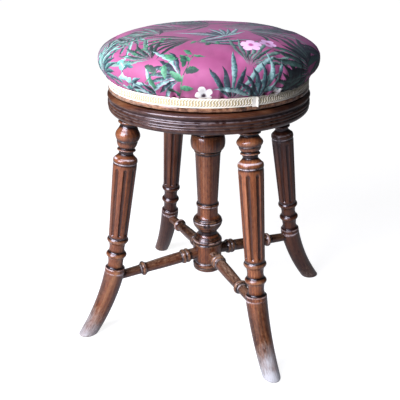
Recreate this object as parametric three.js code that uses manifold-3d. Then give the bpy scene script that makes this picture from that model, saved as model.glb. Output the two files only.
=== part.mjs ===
import * as THREE from 'three';
import { mergeVertices } from 'three/addons/utils/BufferGeometryUtils.js';
import Module from 'manifold-3d';

// A revolving piano stool, in millimetres. +Z is up and the origin is on the floor, on the pillar's axis.
// The front of the stool is towards -Y. The seat is drawn wound down to its stop.

const wasm = await Module();
wasm.setup();

// Fits between pieces
const seatingGap = 0.3; // between two pieces that touch
const slidingGap = 0.8; // round the stop washer in the pillar's bore
const looseGap = 0.4; // between the stop washer and the foot of the screw
const threadGap = 0.8; // radial play between the screw and its nut
const flankGap = 0.4; // play between the flanks of the screw and its nut, along the axis
const cutOverrun = 12; // how far a cutter runs past what it cuts

// Sides of the round pieces
const seatSides = 32;
const pillarSides = 16;
const legSides = 12;
const stretcherSides = 10;
const hardwareSides = 8;
const threadSides = 10;
const footSteps = 7;
const crownSteps = 8;
const bellySteps = 4;
const boldSwell = 2.2; // a turned swell takes one step more for each of these it stands out

// Frame top: a moulded round block with a shallow well in its top
const frameUnderside = 393; // height of its underside above the floor
const frameRadius = 168.5;
const frameThickness = 31.5;
const mouldingDepth = 5;
const wellDepth = 12.5;
const wellMargin = 8; // room round the flange in the well
const mouldingShares = [
  // height, radius and swell, as shares of the frame's thickness and the moulding's depth
  [0, 0.1],
  [0.263, 0.78, 0.32],
  [0.283, 0.54],
  [0.295, 0.82],
  [0.41, 0.82, 0.22],
  [0.422, 0.58],
  [0.435, 0.78],
  [0.578, 0.74, 0.24],
  [0.597, 0.36],
  [0.676, 0.36],
  [0.695, 0.5],
  [1, 0.02, 0.68],
];

// Legs: turned and splayed, each on a plain sabre foot
const legTopRadius = 140.4; // from the pillar's axis to the leg's axis at the frame's underside
const legTilt = THREE.MathUtils.degToRad(8.33);
const collarHeight = 114; // where the turned part ends and the foot begins
const legRadius = 20.2;
const legTenonRadius = 9;
const legTenonLength = 18;
const footTilt = THREE.MathUtils.degToRad(16.5); // the foot's slope where it leaves the collar
const toeTilt = THREE.MathUtils.degToRad(36); // its slope at the floor
const footRadius = 17.6;
const toeRadius = 14.2;
const footRoot = 3; // how far the foot starts above the collar's edge
const headShare = 0.699; // the turned length up to where the leg's head begins
const neckShare = 0.803; // and up to the waist under the bulb
const frontRightRiseShare = 0.0645; // the front right leg was turned with its neck this much higher
const legShares = [
  // height above the collar's edge, radius and swell, as shares of the turned length and the leg's radius
  [0, 0.871],
  [0.029, 0.856],
  [0.038, 0.718],
  [0.063, 0.639],
  [0.104, 0.745],
  [0.138, 0.752, 0.124],
  [0.143, 0.693],
  [0.17, 0.649],
  [0.203, 0.77],
  [0.237, 0.807, 0.114],
  [0.244, 0.797],
  [0.699, 0.99],
  [0.717, 0.965],
  [0.722, 1],
  [0.74, 0.985],
  [0.746, 0.905],
  [0.772, 0.579, -0.02],
  [0.789, 0.614],
  [0.792, 0.743],
  [0.799, 0.743],
  [0.806, 0.639],
  [0.848, 0.856, 0.045],
  [0.856, 0.901],
  [0.918, 0.822, 0.149],
  [0.939, 0.683],
  [0.952, 0.703],
  [0.955, 0.856],
  [0.966, 0.856],
  [0.97, 0.743],
  [1, 0.767],
];
const legs = [
  { name: 'front_left', azimuth: -135, riseShare: 0 },
  { name: 'front_right', azimuth: -45, riseShare: frontRightRiseShare },
  { name: 'back_right', azimuth: 45, riseShare: 0 },
  { name: 'back_left', azimuth: 135, riseShare: 0 },
];

// Pillar: turned, hanging from the frame top on a round tenon
const pillarBase = 79; // height of its lower end above the floor
const pillarRadius = 30.8;
const pillarTenonRadius = 22;
const tenonDepthShare = 0.5; // its tenon's length, as a share of the wood between the well and the underside
const pillarShares = [
  // height above the lower end, radius and swell, as shares of the pillar's height and its radius
  [0, 0.747],
  [0.008, 0.841],
  [0.051, 0.825, 0.049],
  [0.0548, 0.792],
  [0.0593, 0.841],
  [0.1613, 0.87],
  [0.1766, 0.821, 0.023],
  [0.1811, 0.854],
  [0.1964, 0.838, 0.023],
  [0.1989, 0.808],
  [0.2142, 0.711],
  [0.2346, 0.562, -0.023],
  [0.2467, 0.542],
  [0.2531, 0.578],
  [0.2933, 0.851, 0.01],
  [0.3137, 0.873, 0.016],
  [0.3315, 0.766, 0.029],
  [0.3522, 0.614, -0.019],
  [0.3959, 0.601],
  [0.4284, 0.594, 0.068],
  [0.7345, 0.731],
  [0.7361, 0.766],
  [0.7478, 0.773],
  [0.7504, 0.821],
  [0.7631, 0.929, 0.013],
  [0.7823, 0.981],
  [0.8033, 0.984],
  [0.8256, 0.948],
  [0.8403, 0.883],
  [0.8428, 0.812],
  [0.8543, 0.805],
  [0.8766, 0.695, -0.016],
  [0.934, 0.695, -0.013],
  [0.9614, 0.792, -0.019],
  [0.964, 0.89],
  [1, 0.935, 0.029],
];

// Stretchers: turned, from the pillar's drum down to the legs
const stretcherHubHeight = 115.4; // where their axes meet the pillar's axis
const stretcherLegDrop = 11.3; // where they meet the legs, below the collar's edge
const stretcherRadius = 13.2;
const stretcherTenonRadius = 6;
const hubTenonLength = 12;
const legTenonDepth = 11;
const stretcherShares = [
  // distance from the pillar's axis, radius and swell, as shares of the span and the stretcher's radius
  [0.09, 0.727],
  [0.204, 0.773],
  [0.215, 0.924],
  [0.245, 0.939, 0.068],
  [0.25, 0.864],
  [0.255, 0.939],
  [0.288, 0.909, 0.068],
  [0.296, 0.78],
  [0.656, 0.674],
  [0.672, 0.727],
  [0.688, 0.909],
  [0.715, 0.924, 0.068],
  [0.728, 0.667],
  [0.747, 0.629],
  [0.95, 0.591],
];

// Lifting screw, nut, stop washer and pin
const threadPitch = 10;
const liftTurns = 10;
const crestRadius = 9.5;
const threadDepth = 2;
const crestWidthShare = 0.32; // of the pitch
const ridgeWidthShare = 0.62;
const ridgeRootShare = 0.5; // how far the ridge is sunk in the core, as a share of its depth
const studRadius = 5.5;
const studEnd = 4; // below the stop pin
const washerOverlap = 3; // beyond the thread's crest
const washerThickness = 3;
const pinRadius = 1.6;
const pinInset = 2; // from the washer's edge
const boreRunout = 12; // below the foot of the screw
const nutReach = 44; // below the floor of the well
const nutShoulder = 1.2; // beyond the pillar's bore
const nutPlateRadius = 42;
const nutPlateThickness = 4;
const nutScrewCircle = 31;
const nutScrewCount = 4;

// Flange under the seat board
const flangeRadius = 52;
const flangeThickness = 4;
const bossRadius = 16;
const spigotRadius = 6.8;
const rivetRadius = 10;
const rivetHeight = 2.5;
const rivetClearance = 1.5;
const flangeScrewCircle = 38;
const flangeScrewCount = 6;

// Countersunk slotted wood screws
const screwHeadRadius = 4.4;
const screwHeadRim = 0.6;
const screwHeadHeight = 3;
const screwShankRadius = 2;
const screwLength = 15;
const screwPoint = 4;
const screwSlotWidth = 1.1;
const screwSlotDepth = 1.1;
const headInset = 0.2; // below the face of the plate

// Seat board, with a lip that shows below the braid
const seatGap = 2.5; // between the frame top and the seat board, wound down
const boardRadius = 166;
const boardThickness = 17;
const lipHeight = 6;
const lipRounding = 1.5;
const rebateDepth = 4.5;

// Cushion: stuffing, cover and braid
const braidHeight = 14;
const braidThickness = 1.6;
const braidBevel = 0.5;
const coverThickness = 1.5;
const tuckRise = 2.5; // from the braid's top edge to where the cover turns out over it
const cushionRadius = 179.4;
const bellyHeight = 26.7; // from there to the widest part
const crownHeight = 44.2; // from the widest part to the top
const crownSquareness = 0.5; // power that squares the crown's shoulder

// Heights above the floor
const frameUpper = frameUnderside + frameThickness;
const wellFloor = frameUpper - wellDepth;
const boardUnderside = frameUpper + seatGap;
const boardUpper = boardUnderside + boardThickness;
const lipUpper = boardUnderside + lipHeight;
const braidLower = lipUpper + seatingGap;
const braidUpper = braidLower + braidHeight;
const tuckHeight = braidUpper + tuckRise;
const widestHeight = tuckHeight + bellyHeight;
const nutPlateLower = wellFloor + seatingGap;
const nutPlateUpper = nutPlateLower + nutPlateThickness;
const nutLower = wellFloor - nutReach;
const bossLower = nutPlateUpper + seatingGap;
const flangeUpper = boardUnderside - seatingGap;
const flangeLower = flangeUpper - flangeThickness;
const threadUpper = bossLower - seatingGap;
const liftHeight = threadPitch * liftTurns;
const washerUpper = nutLower - liftHeight - seatingGap;
const washerLower = washerUpper - washerThickness;
const threadLower = washerUpper + looseGap;
const pinHeight = washerLower - looseGap - pinRadius;
const studLower = pinHeight - pinRadius - studEnd;
const boreLower = studLower - boreRunout;

// Radii and lengths that follow from the sizes above
const coreRadius = crestRadius - threadDepth;
const washerRadius = crestRadius + washerOverlap;
const boreRadius = washerRadius + slidingGap;
const barrelRadius = boreRadius + nutShoulder;
const barrelHoleRadius = barrelRadius + seatingGap;
const wellRadius = flangeRadius + wellMargin;
const pillarTenonLength = (frameThickness - wellDepth) * tenonDepthShare;
const rebateRadius = boardRadius - rebateDepth;
const skirtRadius = rebateRadius + seatingGap + coverThickness;
const turnedLength = (frameUnderside - collarHeight) / Math.cos(legTilt);
const collarRadius = legTopRadius + turnedLength * Math.sin(legTilt);
const footBend = collarHeight / (Math.sin(toeTilt) - Math.sin(footTilt));
const footLength = footBend * (toeTilt - footTilt);

// Materials
const walnut = new THREE.MeshStandardMaterial({ color: 0x5f3524, roughness: 0.38, metalness: 0 });
const darkWalnut = new THREE.MeshStandardMaterial({ color: 0x4a281c, roughness: 0.4, metalness: 0 });
const wroughtIron = new THREE.MeshStandardMaterial({ color: 0x4b4845, roughness: 0.5, metalness: 0.9 });
const brightSteel = new THREE.MeshStandardMaterial({ color: 0x8b8780, roughness: 0.35, metalness: 0.95 });
const printedCotton = new THREE.MeshStandardMaterial({ color: 0xb04a7c, roughness: 0.85, metalness: 0 });
const wovenGimp = new THREE.MeshStandardMaterial({ color: 0xe3dac3, roughness: 0.9, metalness: 0 });
const hairStuffing = new THREE.MeshStandardMaterial({ color: 0xb9a88a, roughness: 1, metalness: 0 });

// A closed solid from a geometry, with its doubled points merged and its empty triangles left out.
function solidFrom(geometry) {
  const bare = geometry.clone();
  bare.deleteAttribute('normal');
  bare.deleteAttribute('uv');
  const merged = mergeVertices(bare);
  const corners = merged.index.array;
  const kept = [];
  for (let first = 0; first < corners.length; first += 3) {
    const [a, b, c] = corners.slice(first, first + 3);
    if (a !== b && b !== c && c !== a) {
      kept.push(a, b, c);
    }
  }
  return new wasm.Manifold(
    new wasm.Mesh({
      numProp: 3,
      vertProperties: new Float32Array(merged.attributes.position.array),
      triVerts: new Uint32Array(kept),
    }),
  );
}

function geometryFrom(solid) {
  const mesh = solid.getMesh();
  const geometry = new THREE.BufferGeometry();
  geometry.setAttribute('position', new THREE.BufferAttribute(mesh.vertProperties, 3));
  geometry.setIndex(new THREE.BufferAttribute(mesh.triVerts, 1));
  const faceted = geometry.toNonIndexed();
  faceted.computeVertexNormals();
  return faceted;
}

// An outline turned about the Z axis. Its points are a radius and a height.
function lathed(outline, sides) {
  const points = outline.map(([radius, height]) => new THREE.Vector2(radius, height));
  return new THREE.LatheGeometry(points, sides).rotateX(Math.PI / 2);
}

// The side of a turning from a table of shares. A row's swell rounds the stretch that leads up to it.
function turnedSide(shares, base, length, core, reach) {
  const side = [];
  let last = null;
  for (const [heightShare, radiusShare, swellShare] of shares) {
    const next = [core + reach * radiusShare, base + length * heightShare];
    if (last && swellShare) {
      const swell = reach * swellShare;
      const steps = 2 + Math.floor(Math.abs(swell) / boldSwell);
      for (let step = 1; step < steps; step += 1) {
        const part = step / steps;
        side.push([
          THREE.MathUtils.lerp(last[0], next[0], part) + swell * Math.sin(Math.PI * part),
          THREE.MathUtils.lerp(last[1], next[1], part),
        ]);
      }
    }
    side.push(next);
    last = next;
  }
  return side;
}

// A plain round bar along Z.
function bar(radius, lower, upper, sides) {
  return lathed([[0, lower], [radius, lower], [radius, upper], [0, upper]], sides);
}

// A block that reaches from one height up to another, wide enough to cut the whole stool.
function slab(lower, upper) {
  const width = 2 * (collarRadius + footLength + cutOverrun);
  const box = new THREE.BoxGeometry(width, width, upper - lower);
  return box.translate(0, 0, (lower + upper) / 2);
}

function placedRound(count, circle, place) {
  return Array.from({ length: count }, (_, index) => {
    const azimuth = (2 * Math.PI * index) / count;
    return place(circle * Math.cos(azimuth), circle * Math.sin(azimuth), index);
  });
}

function node(name, geometry, material) {
  const mesh = new THREE.Mesh(geometry, material);
  mesh.name = name;
  return mesh;
}

// Where the axis of the sabre foot runs, at a distance along it below the collar's edge.
function footPoint(distance) {
  const slope = footTilt + distance / footBend;
  return {
    slope,
    x: collarRadius + footBend * (Math.cos(footTilt) - Math.cos(slope)),
    z: collarHeight - footBend * (Math.sin(slope) - Math.sin(footTilt)),
  };
}

// The tenon on top of a leg, on the leg's tilted axis, grown for its socket.
function legTenon(growth) {
  const length = turnedLength + legTenonLength / Math.cos(legTilt) + growth;
  return onLegAxis(bar(legTenonRadius + growth, turnedLength - legTenonLength, length, legSides));
}

function onLegAxis(geometry) {
  return geometry.rotateY(-legTilt).translate(collarRadius, 0, collarHeight);
}

// The leg's outline, with its head moved up by a share of the turned length.
function legOutline(riseShare, growth) {
  const raised = legShares.map(([heightShare, ...rest]) => {
    if (heightShare < headShare) {
      return [heightShare, ...rest];
    }
    const fade = Math.min(1, (1 - heightShare) / (1 - neckShare));
    return [heightShare + riseShare * fade, ...rest];
  });
  const side = turnedSide(raised, 0, turnedLength, growth, legRadius);
  const [topRadius, topHeight] = side[side.length - 1];
  return [[0, 0], ...side, [topRadius, topHeight + cutOverrun], [0, topHeight + cutOverrun]];
}

// A straight taper bent to the foot's curve.
function sabreFoot(growth) {
  const whole = footLength + cutOverrun;
  const outline = [[0, footRoot]];
  for (let step = 0; step <= footSteps; step += 1) {
    const down = THREE.MathUtils.lerp(-footRoot, whole, step / footSteps);
    const part = Math.min(1, Math.max(0, down / footLength));
    outline.unshift([THREE.MathUtils.lerp(footRadius, toeRadius, part) + growth, -down]);
  }
  outline.unshift([0, -whole]);
  const foot = lathed(outline, legSides);
  const points = foot.attributes.position;
  for (let index = 0; index < points.count; index += 1) {
    const axis = footPoint(-points.getZ(index));
    const across = points.getX(index);
    points.setX(index, axis.x + across * Math.cos(axis.slope));
    points.setZ(index, axis.z + across * Math.sin(axis.slope));
  }
  return foot;
}

// A leg without its tenon, standing out along +X.
function legBody(riseShare, growth) {
  const turned = solidFrom(onLegAxis(lathed(legOutline(riseShare, growth), legSides)));
  const foot = solidFrom(sabreFoot(growth));
  const ceiling = solidFrom(slab(frameUnderside - seatingGap, frameUnderside + legTenonLength + 2 * cutOverrun));
  const floor = solidFrom(slab(-2 * cutOverrun - toeRadius, 0));
  return turned.subtract(ceiling).add(foot).subtract(floor);
}

// The stretcher's axis lies in the leg's upright plane.
const stretcherFoot = stretcherEnd();
const stretcherSpan = Math.hypot(stretcherFoot.x, stretcherHubHeight - stretcherFoot.z);
const stretcherTilt = Math.atan2(stretcherHubHeight - stretcherFoot.z, stretcherFoot.x);

function stretcherEnd() {
  const slope = Math.asin(Math.sin(footTilt) + stretcherLegDrop / footBend);
  return footPoint((slope - footTilt) * footBend);
}

function onStretcherAxis(geometry) {
  return geometry.rotateY(Math.PI / 2 + stretcherTilt).translate(0, 0, stretcherHubHeight);
}

const drumRadius = pillarRadius * pillarShares[4][1];
const hubTenonStart = drumRadius - hubTenonLength;
const legTenonEnd = stretcherSpan - footRadius + legTenonDepth;

// The two round tenons of a stretcher, as one bar that runs between their ends.
function stretcherTenons(growth) {
  const grown = bar(stretcherTenonRadius + growth, hubTenonStart - growth, legTenonEnd + growth, stretcherSides);
  return onStretcherAxis(grown);
}

function pillarOutline(growth) {
  return turnedSide(pillarShares, pillarBase, frameUnderside - seatingGap - pillarBase, growth, pillarRadius);
}

function stretcherGeometry() {
  const side = turnedSide(stretcherShares, 0, stretcherSpan, 0, stretcherRadius);
  const outline = [[0, side[0][1]], ...side, [0, side[side.length - 1][1]]];
  const pillar = pillarOutline(seatingGap);
  const pillarCutter = lathed([[0, pillar[0][1]], ...pillar, [0, pillar[pillar.length - 1][1]]], pillarSides);
  const body = solidFrom(onStretcherAxis(lathed(outline, stretcherSides)));
  const scribed = body.subtract(solidFrom(pillarCutter)).subtract(legBody(0, seatingGap));
  return geometryFrom(scribed.add(solidFrom(stretcherTenons(0))));
}

function legGeometry(riseShare) {
  const body = legBody(riseShare, 0).add(solidFrom(legTenon(0)));
  return geometryFrom(body.subtract(solidFrom(stretcherTenons(seatingGap))));
}

function frameTopGeometry() {
  const side = turnedSide(
    mouldingShares,
    frameUnderside,
    frameThickness,
    frameRadius - mouldingDepth,
    mouldingDepth,
  );
  const tenonSocketUpper = frameUnderside + pillarTenonLength + seatingGap;
  const outline = [
    [barrelHoleRadius, tenonSocketUpper],
    [pillarTenonRadius + seatingGap, tenonSocketUpper],
    [pillarTenonRadius + seatingGap, frameUnderside],
    ...side,
    [wellRadius, frameUpper],
    [wellRadius, wellFloor],
    [barrelHoleRadius, wellFloor],
    [barrelHoleRadius, tenonSocketUpper],
  ];
  let block = solidFrom(lathed(outline, seatSides));
  for (const leg of legs) {
    block = block.subtract(solidFrom(legTenon(seatingGap).rotateZ(THREE.MathUtils.degToRad(leg.azimuth))));
  }
  for (const hole of nutScrewPlaces((x, y) => woodScrew(seatingGap).translate(x, y, nutPlateUpper - headInset))) {
    block = block.subtract(solidFrom(hole));
  }
  return geometryFrom(block);
}

function pillarGeometry() {
  const tenonUpper = frameUnderside + pillarTenonLength;
  const counterboreLower = nutLower - seatingGap;
  const outline = [
    [0, pillarBase],
    ...pillarOutline(0),
    [pillarTenonRadius, frameUnderside - seatingGap],
    [pillarTenonRadius, tenonUpper],
    [barrelHoleRadius, tenonUpper],
    [barrelHoleRadius, counterboreLower],
    [boreRadius, counterboreLower],
    [boreRadius, boreLower],
    [0, boreLower],
  ];
  let turning = solidFrom(lathed(outline, pillarSides));
  for (const leg of legs) {
    const socket = stretcherTenons(seatingGap).rotateZ(THREE.MathUtils.degToRad(leg.azimuth));
    turning = turning.subtract(solidFrom(socket));
  }
  return geometryFrom(turning);
}

// A countersunk wood screw, its head's face at the origin and its point down.
function woodScrew(growth) {
  const head = screwHeadRadius + growth;
  const shank = screwShankRadius + growth;
  const top = growth > 0 ? cutOverrun : 0;
  return lathed(
    [
      [0, -screwLength - growth],
      [shank, screwPoint - screwLength],
      [shank, -screwHeadHeight],
      [head, -screwHeadRim],
      [head, top],
      [0, top],
    ],
    hardwareSides,
  );
}

function woodScrewGeometry() {
  const slot = new THREE.BoxGeometry(screwSlotWidth, 2 * (screwHeadRadius + cutOverrun), 2 * screwSlotDepth);
  return geometryFrom(solidFrom(woodScrew(0)).subtract(solidFrom(slot)));
}

function nutScrewPlaces(place) {
  return placedRound(nutScrewCount, nutScrewCircle, place);
}

function flangeScrewPlaces(place) {
  return placedRound(flangeScrewCount, flangeScrewCircle, place);
}

// A screw hole from below, for the flange and the seat board.
function flangeScrewHole(x, y) {
  return woodScrew(seatingGap).rotateX(Math.PI).translate(x, y, flangeLower + headInset);
}

// The ridge of the thread: a trapezium swept up a right-hand helix that starts in line with the lathed core.
function threadRidge(lower, upper, radialGrowth, axialGrowth) {
  const start = threadUpper - threadPitch * (Math.ceil((threadUpper - lower) / threadPitch) + 1);
  const steps = Math.ceil(((upper + threadPitch - start) / threadPitch) * threadSides);
  const rootHalf = (threadPitch * ridgeWidthShare) / 2 + axialGrowth;
  const crestHalf = (threadPitch * crestWidthShare) / 2 + axialGrowth;
  const rootRadius = coreRadius - threadDepth * ridgeRootShare;
  const section = [
    [rootRadius, -rootHalf],
    [crestRadius + radialGrowth, -crestHalf],
    [crestRadius + radialGrowth, crestHalf],
    [rootRadius, rootHalf],
  ];
  const positions = [];
  const indices = [];
  for (let step = 0; step <= steps; step += 1) {
    const azimuth = (2 * Math.PI * step) / threadSides - Math.PI / 2;
    for (const [radius, offset] of section) {
      const height = start + (threadPitch * step) / threadSides + offset;
      positions.push(radius * Math.cos(azimuth), radius * Math.sin(azimuth), height);
    }
  }
  const corners = section.length;
  for (let step = 0; step < steps; step += 1) {
    for (let corner = 0; corner < corners; corner += 1) {
      const here = step * corners + corner;
      const beside = step * corners + ((corner + 1) % corners);
      indices.push(here, here + corners, beside);
      indices.push(beside, here + corners, beside + corners);
    }
  }
  const last = steps * corners;
  indices.push(0, 1, 2, 0, 2, 3);
  indices.push(last, last + 2, last + 1, last, last + 3, last + 2);
  const ridge = new THREE.BufferGeometry();
  ridge.setAttribute('position', new THREE.BufferAttribute(new Float32Array(positions), 3));
  ridge.setIndex(indices);
  return ridge;
}

function threadSolid(lower, upper, radialGrowth, axialGrowth) {
  const core = solidFrom(bar(coreRadius + radialGrowth, lower, upper, threadSides));
  const ridge = solidFrom(threadRidge(lower, upper, radialGrowth, axialGrowth));
  const below = solidFrom(slab(lower - 2 * threadPitch - cutOverrun, lower));
  const above = solidFrom(slab(upper, upper + 3 * threadPitch + cutOverrun));
  return core.add(ridge).subtract(below).subtract(above);
}

function liftScrewGeometry() {
  const pocketUpper = flangeUpper + seatingGap + rivetHeight;
  const ends = lathed(
    [
      [0, studLower],
      [studRadius, studLower],
      [studRadius, threadLower],
      [spigotRadius, threadUpper],
      [spigotRadius, flangeUpper + seatingGap],
      [rivetRadius, flangeUpper + seatingGap],
      [rivetRadius, pocketUpper],
      [0, pocketUpper],
    ],
    threadSides,
  );
  const pinHole = bar(pinRadius + seatingGap, -washerRadius, washerRadius, hardwareSides)
    .rotateX(Math.PI / 2)
    .translate(0, 0, pinHeight);
  const screw = threadSolid(threadLower, threadUpper, 0, 0).add(solidFrom(ends));
  return geometryFrom(screw.subtract(solidFrom(pinHole)));
}

function screwNutGeometry() {
  const outline = [
    [0, nutLower],
    [barrelRadius, nutLower],
    [barrelRadius, nutPlateLower],
    [nutPlateRadius, nutPlateLower],
    [nutPlateRadius, nutPlateUpper],
    [0, nutPlateUpper],
  ];
  const bore = threadSolid(nutLower - cutOverrun, nutPlateUpper + cutOverrun, threadGap, flankGap);
  let nut = solidFrom(lathed(outline, pillarSides)).subtract(bore);
  for (const hole of nutScrewPlaces((x, y) => woodScrew(seatingGap).translate(x, y, nutPlateUpper - headInset))) {
    nut = nut.subtract(solidFrom(hole));
  }
  return geometryFrom(nut);
}

function stopWasherGeometry() {
  const hole = studRadius + looseGap;
  return lathed(
    [
      [hole, washerLower],
      [washerRadius, washerLower],
      [washerRadius, washerUpper],
      [hole, washerUpper],
      [hole, washerLower],
    ],
    pillarSides,
  );
}

function stopPinGeometry() {
  const half = washerRadius - pinInset;
  return bar(pinRadius, -half, half, hardwareSides).rotateX(Math.PI / 2).translate(0, 0, pinHeight);
}

function seatFlangeGeometry() {
  const hole = spigotRadius + seatingGap;
  const outline = [
    [hole, bossLower],
    [bossRadius, bossLower],
    [bossRadius, flangeLower],
    [flangeRadius, flangeLower],
    [flangeRadius, flangeUpper],
    [hole, flangeUpper],
    [hole, bossLower],
  ];
  let flange = solidFrom(lathed(outline, pillarSides));
  for (const hole of flangeScrewPlaces(flangeScrewHole)) {
    flange = flange.subtract(solidFrom(hole));
  }
  return geometryFrom(flange);
}

function seatBoardGeometry() {
  const pocketRadius = rivetRadius + rivetClearance;
  const pocketUpper = boardUnderside + rivetHeight + rivetClearance;
  const outline = [
    [0, pocketUpper],
    [pocketRadius, pocketUpper],
    [pocketRadius, boardUnderside],
    [boardRadius - lipRounding, boardUnderside],
    [boardRadius, boardUnderside + lipRounding],
    [boardRadius, lipUpper],
    [rebateRadius, lipUpper],
    [rebateRadius, boardUpper],
    [0, boardUpper],
  ];
  let board = solidFrom(lathed(outline, seatSides));
  for (const hole of flangeScrewPlaces(flangeScrewHole)) {
    board = board.subtract(solidFrom(hole));
  }
  return geometryFrom(board);
}

// The cushion's side and crown, drawn in by an inset from the cover's outer face.
// The side rolls out over the braid and the crown rises with a squared shoulder to the middle.
function cushionSide(inset) {
  const tuckRadius = skirtRadius - inset;
  const widest = cushionRadius - inset;
  const side = [];
  for (let step = 0; step < bellySteps; step += 1) {
    const turn = ((Math.PI / 2) * step) / bellySteps;
    side.push([
      THREE.MathUtils.lerp(tuckRadius, widest, Math.sin(turn)),
      widestHeight - (bellyHeight - inset) * Math.cos(turn),
    ]);
  }
  for (let step = 0; step < crownSteps; step += 1) {
    const turn = ((Math.PI / 2) * step) / crownSteps;
    side.push([
      widest * Math.cos(turn) ** crownSquareness,
      widestHeight + (crownHeight - inset) * Math.sin(turn),
    ]);
  }
  side.push([0, widestHeight + crownHeight - inset]);
  return side;
}

function seatPadGeometry() {
  const inset = coverThickness + seatingGap;
  const base = boardUpper + seatingGap;
  return lathed([[0, base], [skirtRadius - inset, base], ...cushionSide(inset)], seatSides);
}

function seatCoverGeometry() {
  const outer = cushionSide(0);
  const inner = cushionSide(coverThickness).reverse();
  const hem = [
    [skirtRadius - coverThickness, braidLower],
    [skirtRadius, braidLower],
  ];
  return lathed([...inner, ...hem, ...outer], seatSides);
}

function gimpBraidGeometry() {
  const inner = skirtRadius + seatingGap;
  const outer = inner + braidThickness;
  return lathed(
    [
      [inner, braidLower],
      [outer - braidBevel, braidLower],
      [outer, braidLower + braidBevel],
      [outer, braidUpper - braidBevel],
      [outer - braidBevel, braidUpper],
      [inner, braidUpper],
      [inner, braidLower],
    ],
    seatSides,
  );
}

// Assembly
const stool = new THREE.Group();
const frame = new THREE.Group();
const seat = new THREE.Group();
stool.add(frame, seat);

frame.add(node('frame_top', frameTopGeometry(), walnut));
frame.add(node('pillar', pillarGeometry(), walnut));
const stretcher = stretcherGeometry();
for (const leg of legs) {
  const side = new THREE.Group();
  side.rotation.z = THREE.MathUtils.degToRad(leg.azimuth);
  side.add(node(`leg_${leg.name}`, legGeometry(leg.riseShare), walnut));
  side.add(node(`stretcher_${leg.name}`, stretcher, darkWalnut));
  frame.add(side);
}
frame.add(node('screw_nut', screwNutGeometry(), wroughtIron));

const screwGeometry = woodScrewGeometry();
nutScrewPlaces((x, y, index) => {
  const screw = node(`nut_screw_${index + 1}`, screwGeometry, brightSteel);
  screw.position.set(x, y, nutPlateUpper - headInset);
  frame.add(screw);
});
flangeScrewPlaces((x, y, index) => {
  const screw = node(`flange_screw_${index + 1}`, screwGeometry, brightSteel);
  screw.rotation.x = Math.PI;
  screw.position.set(x, y, flangeLower + headInset);
  seat.add(screw);
});

seat.add(node('stop_washer', stopWasherGeometry(), wroughtIron));
seat.add(node('lift_screw', liftScrewGeometry(), wroughtIron));
seat.add(node('stop_pin', stopPinGeometry(), brightSteel));
seat.add(node('seat_flange', seatFlangeGeometry(), wroughtIron));
seat.add(node('seat_board', seatBoardGeometry(), darkWalnut));
seat.add(node('seat_pad', seatPadGeometry(), hairStuffing));
seat.add(node('seat_cover', seatCoverGeometry(), printedCotton));
seat.add(node('gimp_braid', gimpBraidGeometry(), wovenGimp));

export default stool;
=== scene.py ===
# %% [markdown]
# # A revolving piano stool
#
# The stool has a round stuffed seat that winds up and down on an iron screw. Below it are a moulded
# round frame, four splayed legs with fluted shafts and sabre feet, a turned pillar and four turned
# stretchers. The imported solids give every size. Here each visible piece is made again with a fine
# surface, and gets a material that starts from what the real one is.

# %% Setup
import math
import random

import bmesh
import bpy
import numpy as np
from mathutils import Matrix, Vector, noise


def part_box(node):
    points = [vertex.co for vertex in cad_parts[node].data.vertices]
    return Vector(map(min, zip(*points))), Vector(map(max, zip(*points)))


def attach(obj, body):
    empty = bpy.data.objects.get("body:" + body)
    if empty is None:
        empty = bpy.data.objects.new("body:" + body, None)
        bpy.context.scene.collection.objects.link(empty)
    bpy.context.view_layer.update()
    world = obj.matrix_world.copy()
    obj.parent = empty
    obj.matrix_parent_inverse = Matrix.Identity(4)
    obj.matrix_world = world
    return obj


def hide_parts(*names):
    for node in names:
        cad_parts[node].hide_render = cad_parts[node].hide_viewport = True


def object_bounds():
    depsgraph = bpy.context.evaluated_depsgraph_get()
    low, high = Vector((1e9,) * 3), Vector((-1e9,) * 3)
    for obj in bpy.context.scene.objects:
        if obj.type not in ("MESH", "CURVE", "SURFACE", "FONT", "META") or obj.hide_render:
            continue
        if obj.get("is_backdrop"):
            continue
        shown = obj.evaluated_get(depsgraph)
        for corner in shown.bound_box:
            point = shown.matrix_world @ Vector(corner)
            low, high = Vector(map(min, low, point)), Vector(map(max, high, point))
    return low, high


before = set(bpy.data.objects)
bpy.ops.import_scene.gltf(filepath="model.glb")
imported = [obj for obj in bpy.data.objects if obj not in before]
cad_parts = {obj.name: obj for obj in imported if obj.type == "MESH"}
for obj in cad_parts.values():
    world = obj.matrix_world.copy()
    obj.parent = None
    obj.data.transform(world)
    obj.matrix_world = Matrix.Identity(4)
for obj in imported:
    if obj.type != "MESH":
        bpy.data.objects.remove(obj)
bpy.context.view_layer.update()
scene = bpy.context.scene
scene.view_settings.view_transform = "Standard"

# %% [markdown]
# ## Units, colours and nodes
#
# Sizes are written in millimetres and turned to Blender's metres in one place. Colours are written as
# the sRGB hex values that a colour picker shows, and the shader needs them linear, so one function
# turns them. One more function adds a node, sets it and links it.

# %% Small helpers
MM = 0.001


def linear(hex_colour):
    """The linear colour of an sRGB hex value."""
    parts = [int(hex_colour[first : first + 2], 16) / 255 for first in (1, 3, 5)]
    bright = [p / 12.92 if p <= 0.04045 else ((p + 0.055) / 1.055) ** 2.4 for p in parts]
    return (*bright, 1.0)


def per(size_mm):
    """How often a feature of this size repeats in a metre, for a pattern's scale."""
    return 1 / (size_mm * MM)


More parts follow.
